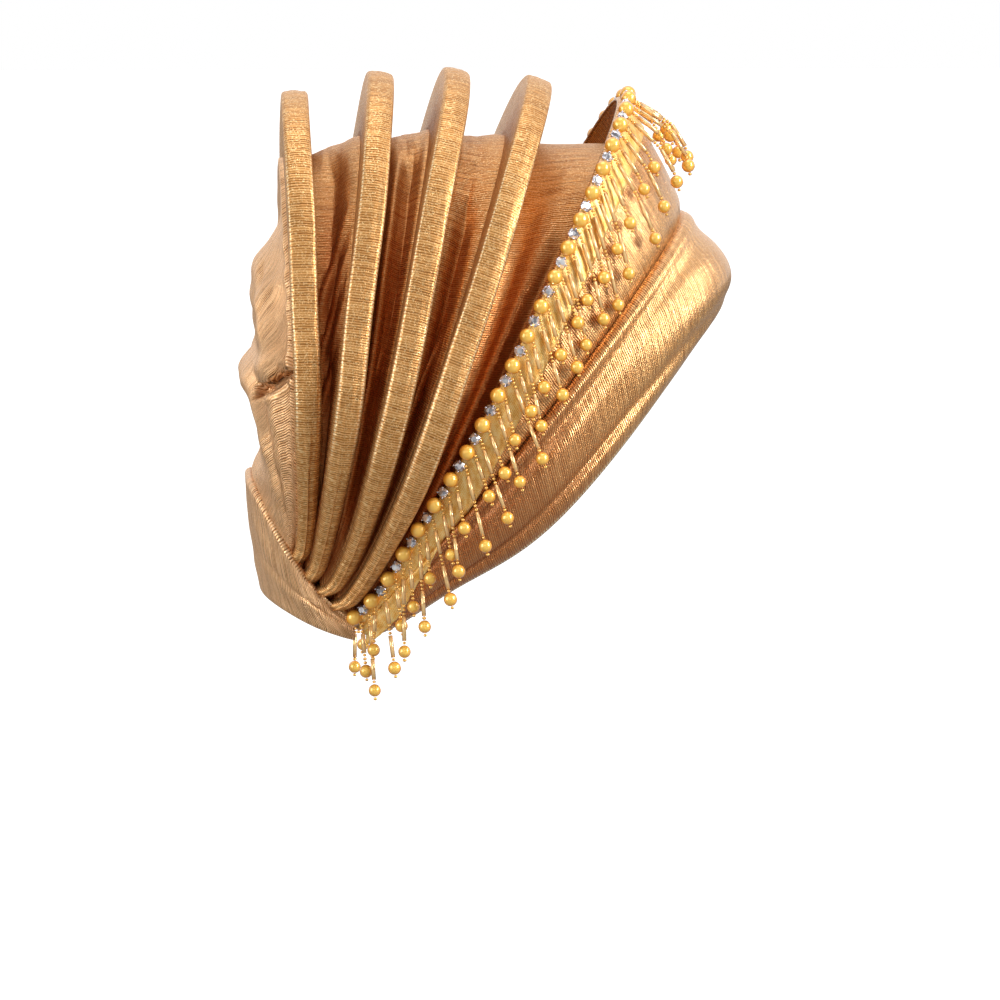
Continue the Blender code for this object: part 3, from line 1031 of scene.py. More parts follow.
FIN_ARCHES = {
    "fin_1": Arch(-0.390, 0.015, -0.387, -0.828, 0.61, 0.87, 0.44, 1.02, 0.015),
    "fin_2": Arch(-0.220, 0.058, -0.357, -0.870, 0.62, 0.965, 0.44, 1.02, 0.015),
    "fin_3": Arch(-0.067, 0.068, -0.324, -0.908, 0.62, 1.00, 0.44, 1.02, 0.035),
    "fin_4": Arch(0.100, 0.053, -0.295, -0.943, 0.61, 1.01, 0.44, 1.02, 0.040),
}
TRIM_ARCH = Arch(0.330, 0.158, -0.267, -0.966, 0.59, 1.05, 0.44, 1.00, 0.035)
CREASE_ARCH = Arch(0.474, -0.100, -0.252, -0.995, 0.585, 1.01, 0.46, 1.00, 0.010)
FACE_ARCH = Arch(0.528, -0.345, -0.243, -1.020, 0.58, 0.945, 0.45, 1.00, 0.110)
REAR_UPPER_ARCH = Arch(-0.490, -0.695, -0.272, -0.990, 0.60, 0.635, 0.40, 0.45, -0.035)
REAR_LOWER_ARCH = Arch(-0.460, -0.935, -0.268, -1.022, 0.595, 0.615, 0.25, 0.60, -0.015)


def foot_taper(climb: float) -> float:
    """How much of a band's roll is left where it narrows to the gather."""
    return 0.15 + 0.85 * smooth_step(climb / 0.35)


@dataclass
class FrontBands:
    """The standing band that carries the trim, and the rolled forehead band under it."""

    upper_roll: float = 0.002
    side_roll: float = 0.004
    front_roll: float = 0.0145
    upper: list[Line] = field(default_factory=list)
    lower: list[Line] = field(default_factory=list)

    def __post_init__(self) -> None:
        """Lays out both bands' outer faces."""
        trim = TRIM_ARCH.line()
        crease = CREASE_ARCH.line()
        face = [
            point.lerp(crease[index], 0.24 * hump(climb_of(index), 0.14, 0.15))
            for index, point in enumerate(FACE_ARCH.line())
        ]
        self.upper = self._band(trim, crease, 26, self._upper_relief)
        self.lower = self._band(crease, face, 40, self._lower_relief)

    @staticmethod
    def _band(
        start: Line, end: Line, count: int, relief: Callable[[float, float, int], float]
    ) -> list[Line]:
        """Rows from one edge to the other, each stood out by the relief."""
        flat = [between(start, end, row / count) for row in range(count + 1)]
        return embossed(flat, lambda row, index: relief(row / count, climb_of(index), index))

    def _upper_relief(self, share: float, climb: float, index: int) -> float:
        """The standing band's shallow roll, with slack ripples low down.

        Args:
            share: How far across the cloth, from 0 to 1.
            climb: Height along the arch, from 0 at a foot to 1 at the top.
            index: The station along the row.

        Returns:
            The relief in metres.
        """
        ripple = noise.noise(Vector((share * 2.2, index * 0.05, 4.0))) * 0.0007
        edge = math.sin(math.pi * min(max(share, 0.0), 1.0))
        tucked = 0.0018 * hump(share, 1.0, 0.06)
        return (self.upper_roll * edge - tucked) * foot_taper(climb) + ripple * edge

    def _lower_relief(self, share: float, climb: float, index: int) -> float:
        """The forehead band's full roll, with one ridge below the crease and one by the face.

        Args:
            share: How far across the cloth, from 0 to 1.
            climb: Height along the arch, from 0 at a foot to 1 at the top.
            index: The station along the row.

        Returns:
            The relief in metres.
        """
        grown = share_above(climb, 0.55)
        roll = self.side_roll + (self.front_roll - self.side_roll) * grown
        low = min(max(share, 0.0), 1.0) ** (1 + 0.35 * grown)
        belly = max(math.sin(math.pi * low), 0.0) ** 0.9
        ridges = 0.0020 * hump(share, 0.08, 0.05) + 0.0009 * hump(share, 0.90, 0.055)
        ridges -= 0.0026 * hump(share, 0.0, 0.025)
        ridges -= 0.0011 * hump(share, 0.23, 0.07) + 0.0013 * hump(share, 0.78, 0.06)
        ripple = noise.noise(Vector((share * 2.6, index * 0.045, 9.0))) * 0.0008
        soft = foot_taper(climb)
        return (roll * belly + ridges * (1 - 0.4 * grown)) * soft + ripple * belly

    @staticmethod
    def _trimmed(rows: list[Line], cut: float) -> list[Line]:
        """The rows with this much taken off their first edge.

        Args:
            rows: The cloth's rows.
            cut: How much comes off, in metres.

        Returns:
            The rows, of which the first four have moved.
        """
        found = [list(row) for row in rows]
        for index in range(STATIONS + 1):
            whole = (rows[4][index] - rows[0][index]).length
            share = min(cut / max(whole, 1e-6), 0.8)
            start = rows[0][index].lerp(rows[4][index], share)
            for row in range(4):
                found[row][index] = start.lerp(rows[4][index], row / 4)
        return found

    def build(self, material: Finish) -> None:
        """Makes both bands with their rolled edges.

        Args:
            material: Its finish.
        """
        worn = self._trimmed(self.upper, 0.0028)
        rows = rolled_both(worn, 0.0007, 0.0016)
        sheet = ClothSheet("front_band_upper_lame", rows, tilt=-0.10, wall=0.0010)
        sheet.lay(material, "front_band_upper")
        ways = grid_normals(self.lower)[0]
        tucked = pushed(self.lower[0], ways, [-0.0030] * len(ways))
        tucks = [between(tucked, self.upper[-3], 0.35), tucked]
        rows = tucks + self.lower[1:] + rolled(self.lower, 0.0014)
        hem = len(tucks) + len(self.lower) - 2
        # Painted shade: the forehead band's tone darkens towards both gathers
        painted_shade_weights = [
            [0.58 * smooth_step((0.74 - climb_of(index)) / 0.45) for index in range(STATIONS + 1)]
        ] * len(rows)
        sheet = ClothSheet(
            "front_band_lower_lame", rows, tilt=0.12, wall=0.0010, rims=(hem,), painted_shade_weights=painted_shade_weights
        )
        sheet.lay(material, "front_band_lower")


@dataclass
class Crown:
    """The pleated crown between the fins, from the seat of fin 1 to the standing band."""

    fins: list[Fin]
    bands: FrontBands
    valleys: tuple[tuple[Crease, ...], ...] = (
        (
            Crease(0.45, 0.26, -0.0034),
            Crease(0.02, 0.10, 0.0019, 0.44, 0.80, 4.0),
            Crease(0.42, 0.09, 0.0021, 0.34, 0.70, 4.0),
            Crease(0.86, 0.10, 0.0019, 0.22, 0.58, 4.0),
        ),
        (
            Crease(0.30, 0.08, 0.0028, 0.08, 0.90, 0.15),
            Crease(0.12, 0.07, -0.0022),
            Crease(0.68, 0.20, -0.0030),
            Crease(0.70, 0.07, 0.0014, 0.20, 0.52, 3.0),
        ),
        (
            Crease(0.55, 0.24, -0.0034, 0.04, 0.80, 0.10),
            Crease(0.62, 0.08, 0.0016, 0.18, 0.56, 3.2),
        ),
        (
            Crease(0.48, 0.08, 0.0020, 0.10, 0.66, 0.25),
            Crease(0.24, 0.15, -0.0024, 0.05, 0.80),
            Crease(0.78, 0.16, -0.0034, 0.04, 0.75),
        ),
    )
    columns: int = 26

    def tuck(self) -> Line:
        """Where the crown ends inside the standing band.

        Returns:
            The line, one point for each station.
        """
        inner = embossed(self.bands.upper, lambda row, index: -0.0035)
        found = []
        for index in range(STATIONS + 1):
            grown = share_above(climb_of(index), 0.72)
            share = (0.14 + 0.30 * grown) * (len(inner) - 1)
            step = min(int(share), len(inner) - 2)
            found.append(inner[step][index].lerp(inner[step + 1][index], share - step))
        return found

    def relief(self, valley: int, share: float, index: int) -> float:
        """How far the valley's cloth stands out at a share of its width.

        Args:
            valley: The valley, counted from the back, or -1 where a fin stands.
            share: How far across the cloth, from 0 to 1.
            index: The station along the row.

        Returns:
            The relief in metres.
        """
        if valley < 0:
            return 0.0
        climb = climb_of(index)
        stand = sum(crease.at(share, climb) for crease in self.valleys[valley])
        ripple = noise.noise(Vector((share * 3.0 + valley * 9, index * 0.07, 2.0))) * 0.0007
        fine = noise.noise(Vector((share * 9.0 + valley * 5, index * 0.21, 7.0))) * 0.00025
        edge = smooth_step(min(share, 1 - share) / 0.12)
        return (stand + ripple + fine) * edge * smooth_step(climb / 0.12)

    @staticmethod
    def flap(foot: Vector) -> Vector:
        """Where the cloth goes on below a gather, tucked in behind the rear band."""
        return Vector((foot.x, foot.y * 0.92, foot.z - 0.009))

    def build(self, material: Finish) -> None:
        """Makes the crown as one sheet whose valleys run between the fins.

        Args:
            material: Its finish.
        """
        base = [self.fins[0].line, self.fins[0].front]
        owners: list[tuple[int, float]] = [(-1, 0.0), (-1, 0.0)]
        edges = [(a.front, b.back) for a, b in zip(self.fins, self.fins[1:])]
        edges.append((self.fins[-1].front, self.tuck()))
        for valley, (near, far) in enumerate(edges):
            for column in range(1, self.columns + 1):
                share = column / self.columns
                base.append(between(near, far, share))
                owners.append((valley, share) if column < self.columns else (-1, 0.0))
            if valley + 1 < len(self.fins):
                base.append(self.fins[valley + 1].front)
                owners.append((-1, 0.0))
        # Painted shade: weights for the darker tone, most in the middle of each valley and lower
        # down, and most in the first valley, between fin 1 and fin 2
        painted_shade_weights = []
        for valley, share in owners:
            weight = 0.95 if valley == 0 else 0.80
            weight *= 0.35 + 0.65 * math.sin(math.pi * share)
            deep = [
                weight * smooth_step((0.93 - climb_of(index)) / 0.45)
                for index in range(STATIONS + 1)
            ]
            painted_shade_weights.append([0.0] + deep + [0.0])
        rows = embossed(base, lambda row, index: self.relief(*owners[row], index))
        rows = [[self.flap(row[0])] + row + [self.flap(row[-1])] for row in rows]
        sheet = ClothSheet("crown_cloth_lame", rows, tilt=0.10, painted_shade_weights=painted_shade_weights)
        sheet.lay(material, "crown_cloth")


@dataclass(frozen=True)
class DrapeRow:
    """One arch of the rear drape, in the cap's shares."""

    top_x: float
    top_z: float
    width: float
    point: float


DRAPE_ROWS = (
    DrapeRow(-0.467, -0.645, 0.66, 0.50),
    DrapeRow(-0.470, -0.585, 0.68, 0.55),
    DrapeRow(-0.467, -0.530, 0.71, 0.62),
    DrapeRow(-0.502, -0.458, 0.74, 0.70),
    DrapeRow(-0.474, -0.395, 0.77, 0.80),
    DrapeRow(-0.485, -0.280, 0.80, 0.90),
    DrapeRow(-0.478, -0.215, 0.82, 1.00),
    DrapeRow(-0.442, -0.164, 0.84, 1.10),
    DrapeRow(-0.417, -0.100, 0.86, 1.15),
)


def spline(points: Line, share: float) -> Vector:
    """A point on the smooth curve through these points.

    Args:
        points: The points that the curve runs through.
        share: How far along the curve, from 0 to 1.

    Returns:
        The point.
    """
    place = share * (len(points) - 1)
    index = min(int(place), len(points) - 2)
    t = place - index
    before = points[max(index - 1, 0)]
    start = points[index]
    end = points[index + 1]
    after = points[min(index + 2, len(points) - 1)]
    return 0.5 * (
        2 * start
        + (end - before) * t
        + (2 * before - 5 * start + 4 * end - after) * t * t
        + (3 * start - before - 3 * end + after) * t ** 3
    )


@dataclass
class RearDrape:
    """The loose pleated cloth behind fin 1, with its bulge, its pleat mouth and its overlaps."""

    fin: Fin
    foot_share: float = 0.28
    blend: float = 0.40
    count: int = 118
    stations: int = 380
    mouth_x: float = -0.0885
    mouth_z: float = -0.0905
    mouth_tilt: float = 40.0
    mouth_reach: float = 0.0150

    def controls(self) -> list[Line]:
        """The drape's arches from the rear band up to fin 1, before its folds.

        Returns:
            The arches, with the rear band first.
        """
        right = REAR_UPPER_ARCH.half(400)
        start = int(self.foot_share * 2 * (len(right) - 1))
        low = whole_line(resample(right[start:], HALF))
        gap = 0.0009
        high = pushed(self.fin.back, [-self.fin.arch.across()] * len(low), [gap] * len(low))
        rows = [low]
        steps = len(DRAPE_ROWS) + 1
        for number, row in enumerate(DRAPE_ROWS, start=1):
            place = low[0].lerp(high[0], number / steps)
            arch = Arch(
                row.top_x, row.top_z, place.x / CAP.length, place.z / CAP.height,
                -place.y / CAP.half_width, row.width, 0.5, row.point, 0.0,
            )
            ruled = between(low, high, number / steps)
            rows.append([
                straight.lerp(bent, smooth_step(climb_of(index) / self.blend))
                for index, (straight, bent) in enumerate(zip(ruled, arch.line()))
            ])
        rows.append(high)
        return rows

    def fold(self, point: Vector) -> float:
        """How far the folds stand the cloth out at a point, in metres.

        Args:
            point: The point.

        Returns:
            The relief in metres.
        """
        x = point.x
        z = point.z
        side = smooth_step((abs(point.y) - 0.016) / 0.014)
        # The pleat's mouth: an eye-shaped pocket that rises to the front under a full lip.
        # Round the back it goes on as a shallow tuck
        tilt = math.radians(self.mouth_tilt)
        from_x = x - self.mouth_x
        from_z = z - self.mouth_z
        along = from_x * math.cos(tilt) + from_z * math.sin(tilt)
        above = -from_x * math.sin(tilt) + from_z * math.cos(tilt)
        reach = max(1 - (along / self.mouth_reach) ** 2, 0.0) * side
        reach *= smooth_step((-0.0768 - x) / 0.006)
        reach = max(reach, 0.45 * (1 - side) * smooth_step((0.012 - along) / 0.01))
        curve = above + 0.0016 * (along / 0.012) ** 2
        high = 0.0030 * reach
        low = -0.0042 * reach
        inside = smooth_step((curve - low) / 0.0022) * smooth_step((high - curve) / 0.0009)
        stand = -0.0070 * inside * smooth_step(reach * 1.6) * (0.55 + 70 * max(curve - low, 0.0))
        stand += 0.0028 * hump(curve, 0.0062, 0.0042) * smooth_step(reach * 1.6)
        stand += 0.0008 * hump(curve, low - 0.0010, 0.0011) * reach
        # A layer's edge from the mouth's upper end down and back to the gather
        edge = (x + 0.0745) + 0.0065 * math.sin((z + 0.100) * 30.0) - 0.30 * max(-0.125 - z, 0.0)
        window = smooth_step((-0.082 - z) / 0.008) * smooth_step((z + 0.165) / 0.02) * side
        stand += 0.0012 * smooth_step(edge / 0.0010) * window * smooth_step((0.010 - edge) / 0.008)
        # The slit and the turned edge above the bulge
        slit = (x + 0.0935) - 0.26 * (z + 0.045)
        upper = hump(z, -0.046, 0.016) * side
        stand -= 0.0022 * hump(slit, 0.0, 0.0012) * upper
        turned = (x + 0.0945) + 0.10 * (z + 0.065)
        stand += 0.0009 * hump(turned, 0.0, 0.0010) * hump(z, -0.063, 0.016) * side
        # Soft diagonal pulls towards the bulge and towards the gather
        pull = math.sin((z - 0.9 * x) * 420.0 + 2.0) * hump(z, -0.050, 0.026)
        pull += 0.8 * math.sin((z + 0.6 * x) * 420.0) * hump(z, -0.130, 0.026)
        return stand + 0.0005 * pull

    @staticmethod
    def slant(climb: float, back: float) -> float:
        """How far the ribs lean: up to the front above the pleat, down to the front below it."""
        turn = smooth_step((climb - 0.42) / 0.22)
        return (-0.55 + 1.65 * turn) * 0.04 * (1 - math.exp(-back / 0.04))

    def build(self, material: Finish) -> None:
        """Makes the drape, its folds and its ribs.

        Args:
            material: Its finish.
        """
        controls = self.controls()
        rows = []
        for row in range(self.count + 1):
            share = row / self.count
            line = [
                spline([line[index] for line in controls], share)
                for index in range(STATIONS + 1)
            ]
            rows.append(resample(line, self.stations))
        flat = rows
        rows = embossed(flat, lambda row, index: self.fold(flat[row][index]) * smooth_step(
            min(index, self.stations - index) / 20
        ))
        under = [
            Vector((point.x * 0.965, point.y * 0.965, point.z - 0.010)) for point in rows[0]
        ]
        rows = [under] + rows + [resample(self.fin.line, self.stations)]
        sheet = ClothSheet("rear_drape_lame", rows, slant=self.slant)
        sheet.lay(material, "rear_drape")


@dataclass
class RearBand:
    """The wrapped strip across the nape, which covers the feet of the fins."""

    stand: float = 0.002
    count: int = 30

    def relief(self, row: int, index: int) -> float:
        """How far the strip stands out, with a crease that crosses it.

        Args:
            row: The row, counted from the lower edge.
            index: The station along the row.

        Returns:
            The relief in metres.
        """
        share = row / self.count
        climb = climb_of(index)
        belly = math.sin(math.pi * share)
        ripple = noise.noise(Vector((share * 4.0, index * 0.05, 14.0))) * 0.0008
        crease = -0.0007 * hump(share, 0.62 - 0.3 * climb, 0.06) * (1 - climb)
        return self.stand + 0.0010 * belly + (ripple + crease) * belly

    def build(self, material: Finish) -> None:
        """Makes the strip with both edges rolled.

        Args:
            material: Its finish.
        """
        lower = REAR_LOWER_ARCH.line()
        upper = REAR_UPPER_ARCH.line()
        flat = [between(lower, upper, row / self.count) for row in range(self.count + 1)]
        rows = rolled_both(embossed(flat, self.relief), 0.0014, 0.0014)
        sheet = ClothSheet("rear_band_lame", rows, tilt=-0.25, wall=0.0010)
        sheet.lay(material, "rear_band")


@dataclass
class TrimGuide:
    """The front bands as one strip, measured from the trimmed top edge down."""

    bands: FrontBands
    lines: list[Line] = field(default_factory=list)
    normals: list[Line] = field(default_factory=list)

    def __post_init__(self) -> None:
        """Joins the bands' rows: every second one of the upper, every fourth of the lower."""
        upper = self.bands.upper[::2]
        lower = self.bands.lower[::4]
        self.lines = upper[:-1] + lower
        self.normals = grid_normals(upper)[:-1] + grid_normals(lower)

    def at_station(self, index: int, distance: float, lift: float) -> tuple[Vector, Vector]:
        """The point at this distance below the edge, and the normal there.

        Args:
            index: The station along the row.
            distance: How far below the trimmed edge, in metres.
            lift: How far off the band, in metres.

        Returns:
            The point and the normal.
        """
        point = self.lines[0][index]
        for row in range(1, len(self.lines)):
            following = self.lines[row][index]
            step = max((following - point).length, 1e-6)
            if distance <= step:
                share = distance / step
                normal = self.normals[row - 1][index].lerp(self.normals[row][index], share)
                normal.normalize()
                return point.lerp(following, share) + normal * lift, normal
            distance -= step
            point = following
        normal = self.normals[-1][index].copy()
        normal.z = 0.0
        normal.normalize()
        return point + Vector((0, 0, -distance)) + normal * lift, normal

    def at(self, place: float, distance: float, lift: float) -> tuple[Vector, Vector]:
        """The same between stations: place runs from 0 at the right gather to 1 at the left.

        Args:
            place: How far along the trim.
            distance: How far below the trimmed edge, in metres.
            lift: How far off the band, in metres.

        Returns:
            The point and the normal.
        """
        if not 0.0 <= place <= 1.0:
            edge = 0.0 if place < 0.0 else 1.0
            inner = 0.01 if place < 0.0 else 0.99
            last, normal = self.at(edge, distance, lift)
            before, _ = self.at(inner, distance, lift)
            return last + (last - before) * min(abs(place - edge), 0.03) / 0.01, normal
        exact = place * STATIONS
        index = min(int(exact), STATIONS - 1)
        low, low_normal = self.at_station(index, distance, lift)
        high, high_normal = self.at_station(index + 1, distance, lift)
        share = exact - index
        return low.lerp(high, share), low_normal.lerp(high_normal, share).normalized()

    def length(self) -> float:
        """The trimmed edge's length in metres."""
        return line_length(self.lines[0])

    def places(self, pitch: float, distance: float, lift: float) -> list[float]:
        """Places this far apart along the trim, with one at the centre front.

        Args:
            pitch: The step in metres.
            distance: How far below the trimmed edge, in metres.
            lift: How far off the band, in metres.

        Returns:
            The places, from the right gather to the left one.
        """
        samples = 480
        points = [
            self.at(0.5 + 0.5 * i / samples, distance, lift)[0] for i in range(samples + 1)
        ]
        found = [0.5]
        walked = 0.0
        for index in range(samples):
            walked += (points[index + 1] - points[index]).length
            if walked >= pitch * len(found):
                found.append(0.5 + 0.5 * (index + 1) / samples)
        if walked > pitch * (len(found) - 0.7):
            found.append(1.0 + 0.3 * (pitch * len(found) - walked) / self.length())
        return [1 - place for place in reversed(found[1:])] + found


@dataclass
class Batch:
    """Many copies of small forms, joined into one mesh."""

    verts: list[Vector] = field(default_factory=list)
    faces: list[tuple[int, ...]] = field(default_factory=list)

    def add(self, form: Form, matrix: Matrix) -> None:
        """Adds a copy of a form at this place and turn.

        Args:
            form: The small form.
            matrix: Its place, turn and size.
        """
        start = len(self.verts)
        self.verts.extend(matrix @ vert.co for vert in form.verts)
        self.faces.extend(
            tuple(start + vert.index for vert in face.verts) for face in form.faces
        )

    def link(self, name: str, material: Finish, smooth: bool = True) -> bpy.types.Object:
        """Turns the copies into one object at the origin.

        Args:
            name: The piece's name.
            material: Its finish.
            smooth: Whether its faces are shaded smooth.

        Returns:
            The object.
        """
        data = bpy.data.meshes.new(name)
        data.from_pydata(self.verts, [], self.faces)
        return link_data(name, data, material, smooth)


def ball(columns: int, rows: int) -> Form:
    """A ball of radius 1.

    Args:
        columns: How many faces round it.
        rows: How many faces from pole to pole.

    Returns:
        The form.
    """
    form = bmesh.new()
    bmesh.ops.create_uvsphere(form, u_segments=columns, v_segments=rows, radius=1.0)
    form.verts.index_update()
    return form


def tapered(sides: int, low: float, high: float) -> Form:
    """A closed cone of depth 1 with these radii.

    Args:
        sides: How many sides it has.
        low: The radius at the bottom.
        high: The radius at the top.

    Returns:
        The form.
    """
    form = bmesh.new()
    bmesh.ops.create_cone(
        form, cap_ends=True, segments=sides, radius1=low, radius2=high, depth=1.0
    )
    form.verts.index_update()
    return form


def sized(radius: float, depth: float | None = None) -> Matrix:
    """A matrix that scales a form to this radius, and to this depth if one is given."""
    return Matrix.Diagonal((radius, radius, radius if depth is None else depth, 1.0))


SEED_FORM = ball(8, 5)
DROP_FORM = ball(14, 9)
BUGLE_FORM = tapered(10, 1.0, 1.0)


def frame_at(point: Vector, up: Vector, along: Vector) -> Matrix:
    """A turned frame at a point: its Z is up, and its X lies as near along as it can.

    Args:
        point: Its origin.
        up: The direction of its Z axis.
        along: The direction that its X axis leans to.

    Returns:
        The frame.
    """
    z_axis = up.normalized()
    x_axis = (along - z_axis * along.dot(z_axis)).normalized()
    y_axis = z_axis.cross(x_axis)
    turned = Matrix((x_axis, y_axis, z_axis)).transposed().to_4x4()
    turned.translation = point
    return turned


@dataclass
class BeadTrim:
    """The gauze ribbon, the pearl and crystal chain, and the bead fringe."""

    guide: TrimGuide
    pearl: float = 0.0035
    pitch: float = 0.0143
    edge: float = 0.0024
    ribbon_edge: float = 0.0015
    ribbon_width: float = 0.0165
    ribbon_stand: float = 0.0007
    ribbon_wall: float = 0.0008
    drop_pearl: float = 0.0029
    seed_bead: float = 0.00085
    bugle: float = 0.00095
    short_strand: float = 0.026
    long_strand: float = 0.040
    crystal: float = 0.0024

    def chain_lift(self) -> float:
        """How far the chain's centre line stands off the band."""
        return self.ribbon_stand + self.ribbon_wall + self.pearl * 0.75

    def build_ribbon(self, material: Finish) -> None:
        """Makes the ribbon with soft flutes between the strands.

        Args:
            material: Its finish.
        """
        rows = []
        count = 14
        for row in range(count + 1):
            share = row / count
            line = []
            for index in range(STATIONS + 1):
                flute = math.sin(index * 0.93) * 0.00035 * math.sin(math.pi * share)
                ragged = noise.noise(Vector((index * 0.8, 3.0, 1.0))) * 0.0006 * share ** 4
                distance = self.ribbon_edge + self.ribbon_width * share + ragged
                stand = self.ribbon_stand + 0.0006 + flute
                line.append(self.guide.at_station(index, distance, stand)[0])
            rows.append(line)
        sheet = ClothSheet("mesh_ribbon_gauze", rows, wall=0.0004)
        sheet.lay(material, "mesh_ribbon", Slot.MESH)

    def build_chain(self, pearl: Finish, crystal: Finish, silver: Finish) -> None:
        """Makes the pearls, the cut crystals between them and the crystals' cups.

        Args:
            pearl: The pearls' finish.
            crystal: The crystals' finish.
            silver: The cups' finish.
        """
        lift = self.chain_lift()
        places = self.guide.places(self.pitch, self.edge, lift)
        pearls = Batch()
        stones = Batch()
        cups = Batch()
        round_form = ball(20, 14)
        rand = random.Random(5)
        for place in places:
            centre, _ = self.guide.at(place, self.edge, lift)
            size = self.pearl * rand.uniform(0.97, 1.03)
            pearls.add(round_form, Matrix.Translation(centre) @ sized(size))
        for first, second in zip(places, places[1:]):
            middle = (first + second) / 2
            centre, normal = self.guide.at(middle, self.edge, lift - 0.0002)
            ahead, _ = self.guide.at(middle + 0.004, self.edge, lift - 0.0002)
            turn = frame_at(centre, normal, ahead - centre)
            spin = Matrix.Rotation(rand.uniform(0, math.tau), 4, "Z")
            self._add_crystal(stones, cups, turn @ spin)
        fit(pearls.link("pearl_chain_pearls", pearl), Slot.PEARL, "pearl_chain")
        fit(stones.link("pearl_chain_crystals", crystal, smooth=False), Slot.BEADS)
        fit(cups.link("pearl_chain_cups", silver), Slot.BEADS)

    def _add_crystal(self, stones: Batch, cups: Batch, turn: Matrix) -> None:
        """Adds one cut stone, with a table, a crown and a pavilion, and its pronged cup.

        Args:
            stones: The batch of crystals.
            cups: The batch of cups.
            turn: Its frame on the band.
        """
        girdle = self.crystal
        stones.add(
            tapered(10, 1.0, 0.56), turn @ Matrix.Translation((0, 0, 0.0006)) @ sized(girdle, 0.0012)
        )
        stones.add(
            tapered(10, 0.25, 1.0), turn @ Matrix.Translation((0, 0, -0.0008)) @ sized(girdle, 0.0016)
        )
        cups.add(
            tapered(14, 0.8, 1.08), turn @ Matrix.Translation((0, 0, -0.0010)) @ sized(girdle, 0.0016)
        )
        for corner in range(4):
            angle = math.tau * corner / 4
            prong = Matrix.Translation(
                (math.cos(angle) * girdle * 0.98, math.sin(angle) * girdle * 0.98, 0.0004)
            )
            cups.add(ball(6, 4), turn @ prong @ sized(0.00052))

    def strand_path(self, place: float, length: float, start: float, lift: float,
                    sway: float) -> Line:
        """Where a strand leaves the chain, bends and ends.

        Args:
            place: Its place along the trim.
            length: Its length in metres.
            start: How far below the edge it starts.
            lift: How far off the band it starts.
            sway: Its own lean, in radians.

        Returns:
            Points along the strand.
        """
        climb = 1 - abs(2 * place - 1)
        grown = share_above(climb, 0.70)
        side = -1 if place < 0.5 else 1
        origin, _ = self.guide.at(place, start, lift)
        swing = 0.30 * smooth_step(climb / 0.45) + sway
        outwards = 0.10 * side
        fall = Vector((swing, outwards, -1.0)).normalized()
        lean = math.radians(60) + math.radians(28) * grown + sway
        laid = smooth_step((climb - 0.52) / 0.26)
        knee = 0.55
        found = []
        for share in (0.0, knee, 1.0):
            reach = length * share
            drop = 0.0
            if share == 1.0:
                drop = length * (1 - knee) * grown
                reach -= drop * 0.75
            moved = place + side * reach * math.cos(lean) / self.guide.length()
            stand = lift + 0.42 * reach * grown + 0.0022 * share
            point, _ = self.guide.at(moved, start + reach * math.sin(lean), stand)
            point.z -= drop * 0.75
            found.append((origin + fall * length * share).lerp(point, laid))
        return found

    def build_fringe(self, bead: Finish, tube: Finish, pearl: Finish) -> None:
        """Makes the strands: seed beads, bugles and an end pearl on each.

        Args:
            bead: The seed beads' finish.
            tube: The bugles' finish.
            pearl: The pearls' finish.
        """
        lift = self.chain_lift()
        start = self.edge + self.pearl * 0.6
        pearls = self.guide.places(self.pitch, self.edge, lift)
        seeds = Batch()
        tubes = Batch()
        drops = Batch()
        rand = random.Random(11)
        stand = self.ribbon_stand + self.ribbon_wall + 0.0022
        for first, second in zip(pearls, pearls[1:]):
            for share, long_one in ((0.20, False), (0.70, True)):
                place = first + (second - first) * (share + rand.uniform(-0.08, 0.08))
                length = self.long_strand if long_one else self.short_strand
                length *= rand.uniform(0.95, 1.06)
                path = self.strand_path(place, length, start, stand, rand.uniform(-0.10, 0.10))
                self._thread(seeds, tubes, drops, path, long_one, rand)
        fit(seeds.link("bead_fringe_seed_beads", bead), Slot.BEADS, "bead_fringe")
        fit(tubes.link("bead_fringe_bugles", tube), Slot.BEADS)
        fit(drops.link("bead_fringe_drop_pearls", pearl), Slot.PEARL)

    def _thread(self, seeds: Batch, tubes: Batch, drops: Batch, path: Line, long_one: bool,
                rand: random.Random) -> None:
        """Threads one strand's beads along its path, from the chain to the end pearl.

        Args:
            seeds: The batch of seed beads.
            tubes: The batch of bugles.
            drops: The batch of end pearls.
            path: Points along the strand.
            long_one: Whether it has a second bugle.
            rand: The source of small differences.
        """
        line = resample([spline(path, step / 20) for step in range(21)], 60)
        total = line_length(line)

        def spot(distance: float) -> Vector:
            """The point this far along the strand."""
            place = min(max(distance / total, 0.0), 1.0) * 60
            index = min(int(place), 59)
            return line[index].lerp(line[index + 1], place - index)

        end = total - self.drop_pearl * 2 - self.seed_bead * 2
        plan = [("seed", 3), ("bugle", 1), ("seed", 3)]
        if long_one:
            plan += [("bugle", 1), ("seed", 1)]
        fixed = sum(count * self.seed_bead * 2 for kind, count in plan if kind == "seed")
        bugles = sum(count for kind, count in plan if kind == "bugle")
        tube_length = max((end - fixed) / bugles, 0.006)
        walked = 0.0
        for kind, count in plan:
            for _ in range(count):
                if kind == "seed":
                    walked += self.seed_bead
                    self._add_seed(seeds, spot(walked), spot(walked + 0.001), rand)
                    walked += self.seed_bead
                else:
                    head = spot(walked + 0.0001)
                    tail = spot(walked + tube_length - 0.0001)
                    self._add_bugle(tubes, head, tail)
                    walked += tube_length
        centre = spot(walked + self.drop_pearl)
        size = self.drop_pearl * rand.uniform(0.96, 1.04)
        drops.add(DROP_FORM, Matrix.Translation(centre) @ sized(size))
        low = centre + (centre - spot(walked)).normalized() * (self.drop_pearl + self.seed_bead)
        self._add_seed(seeds, low, low + (low - centre), rand)

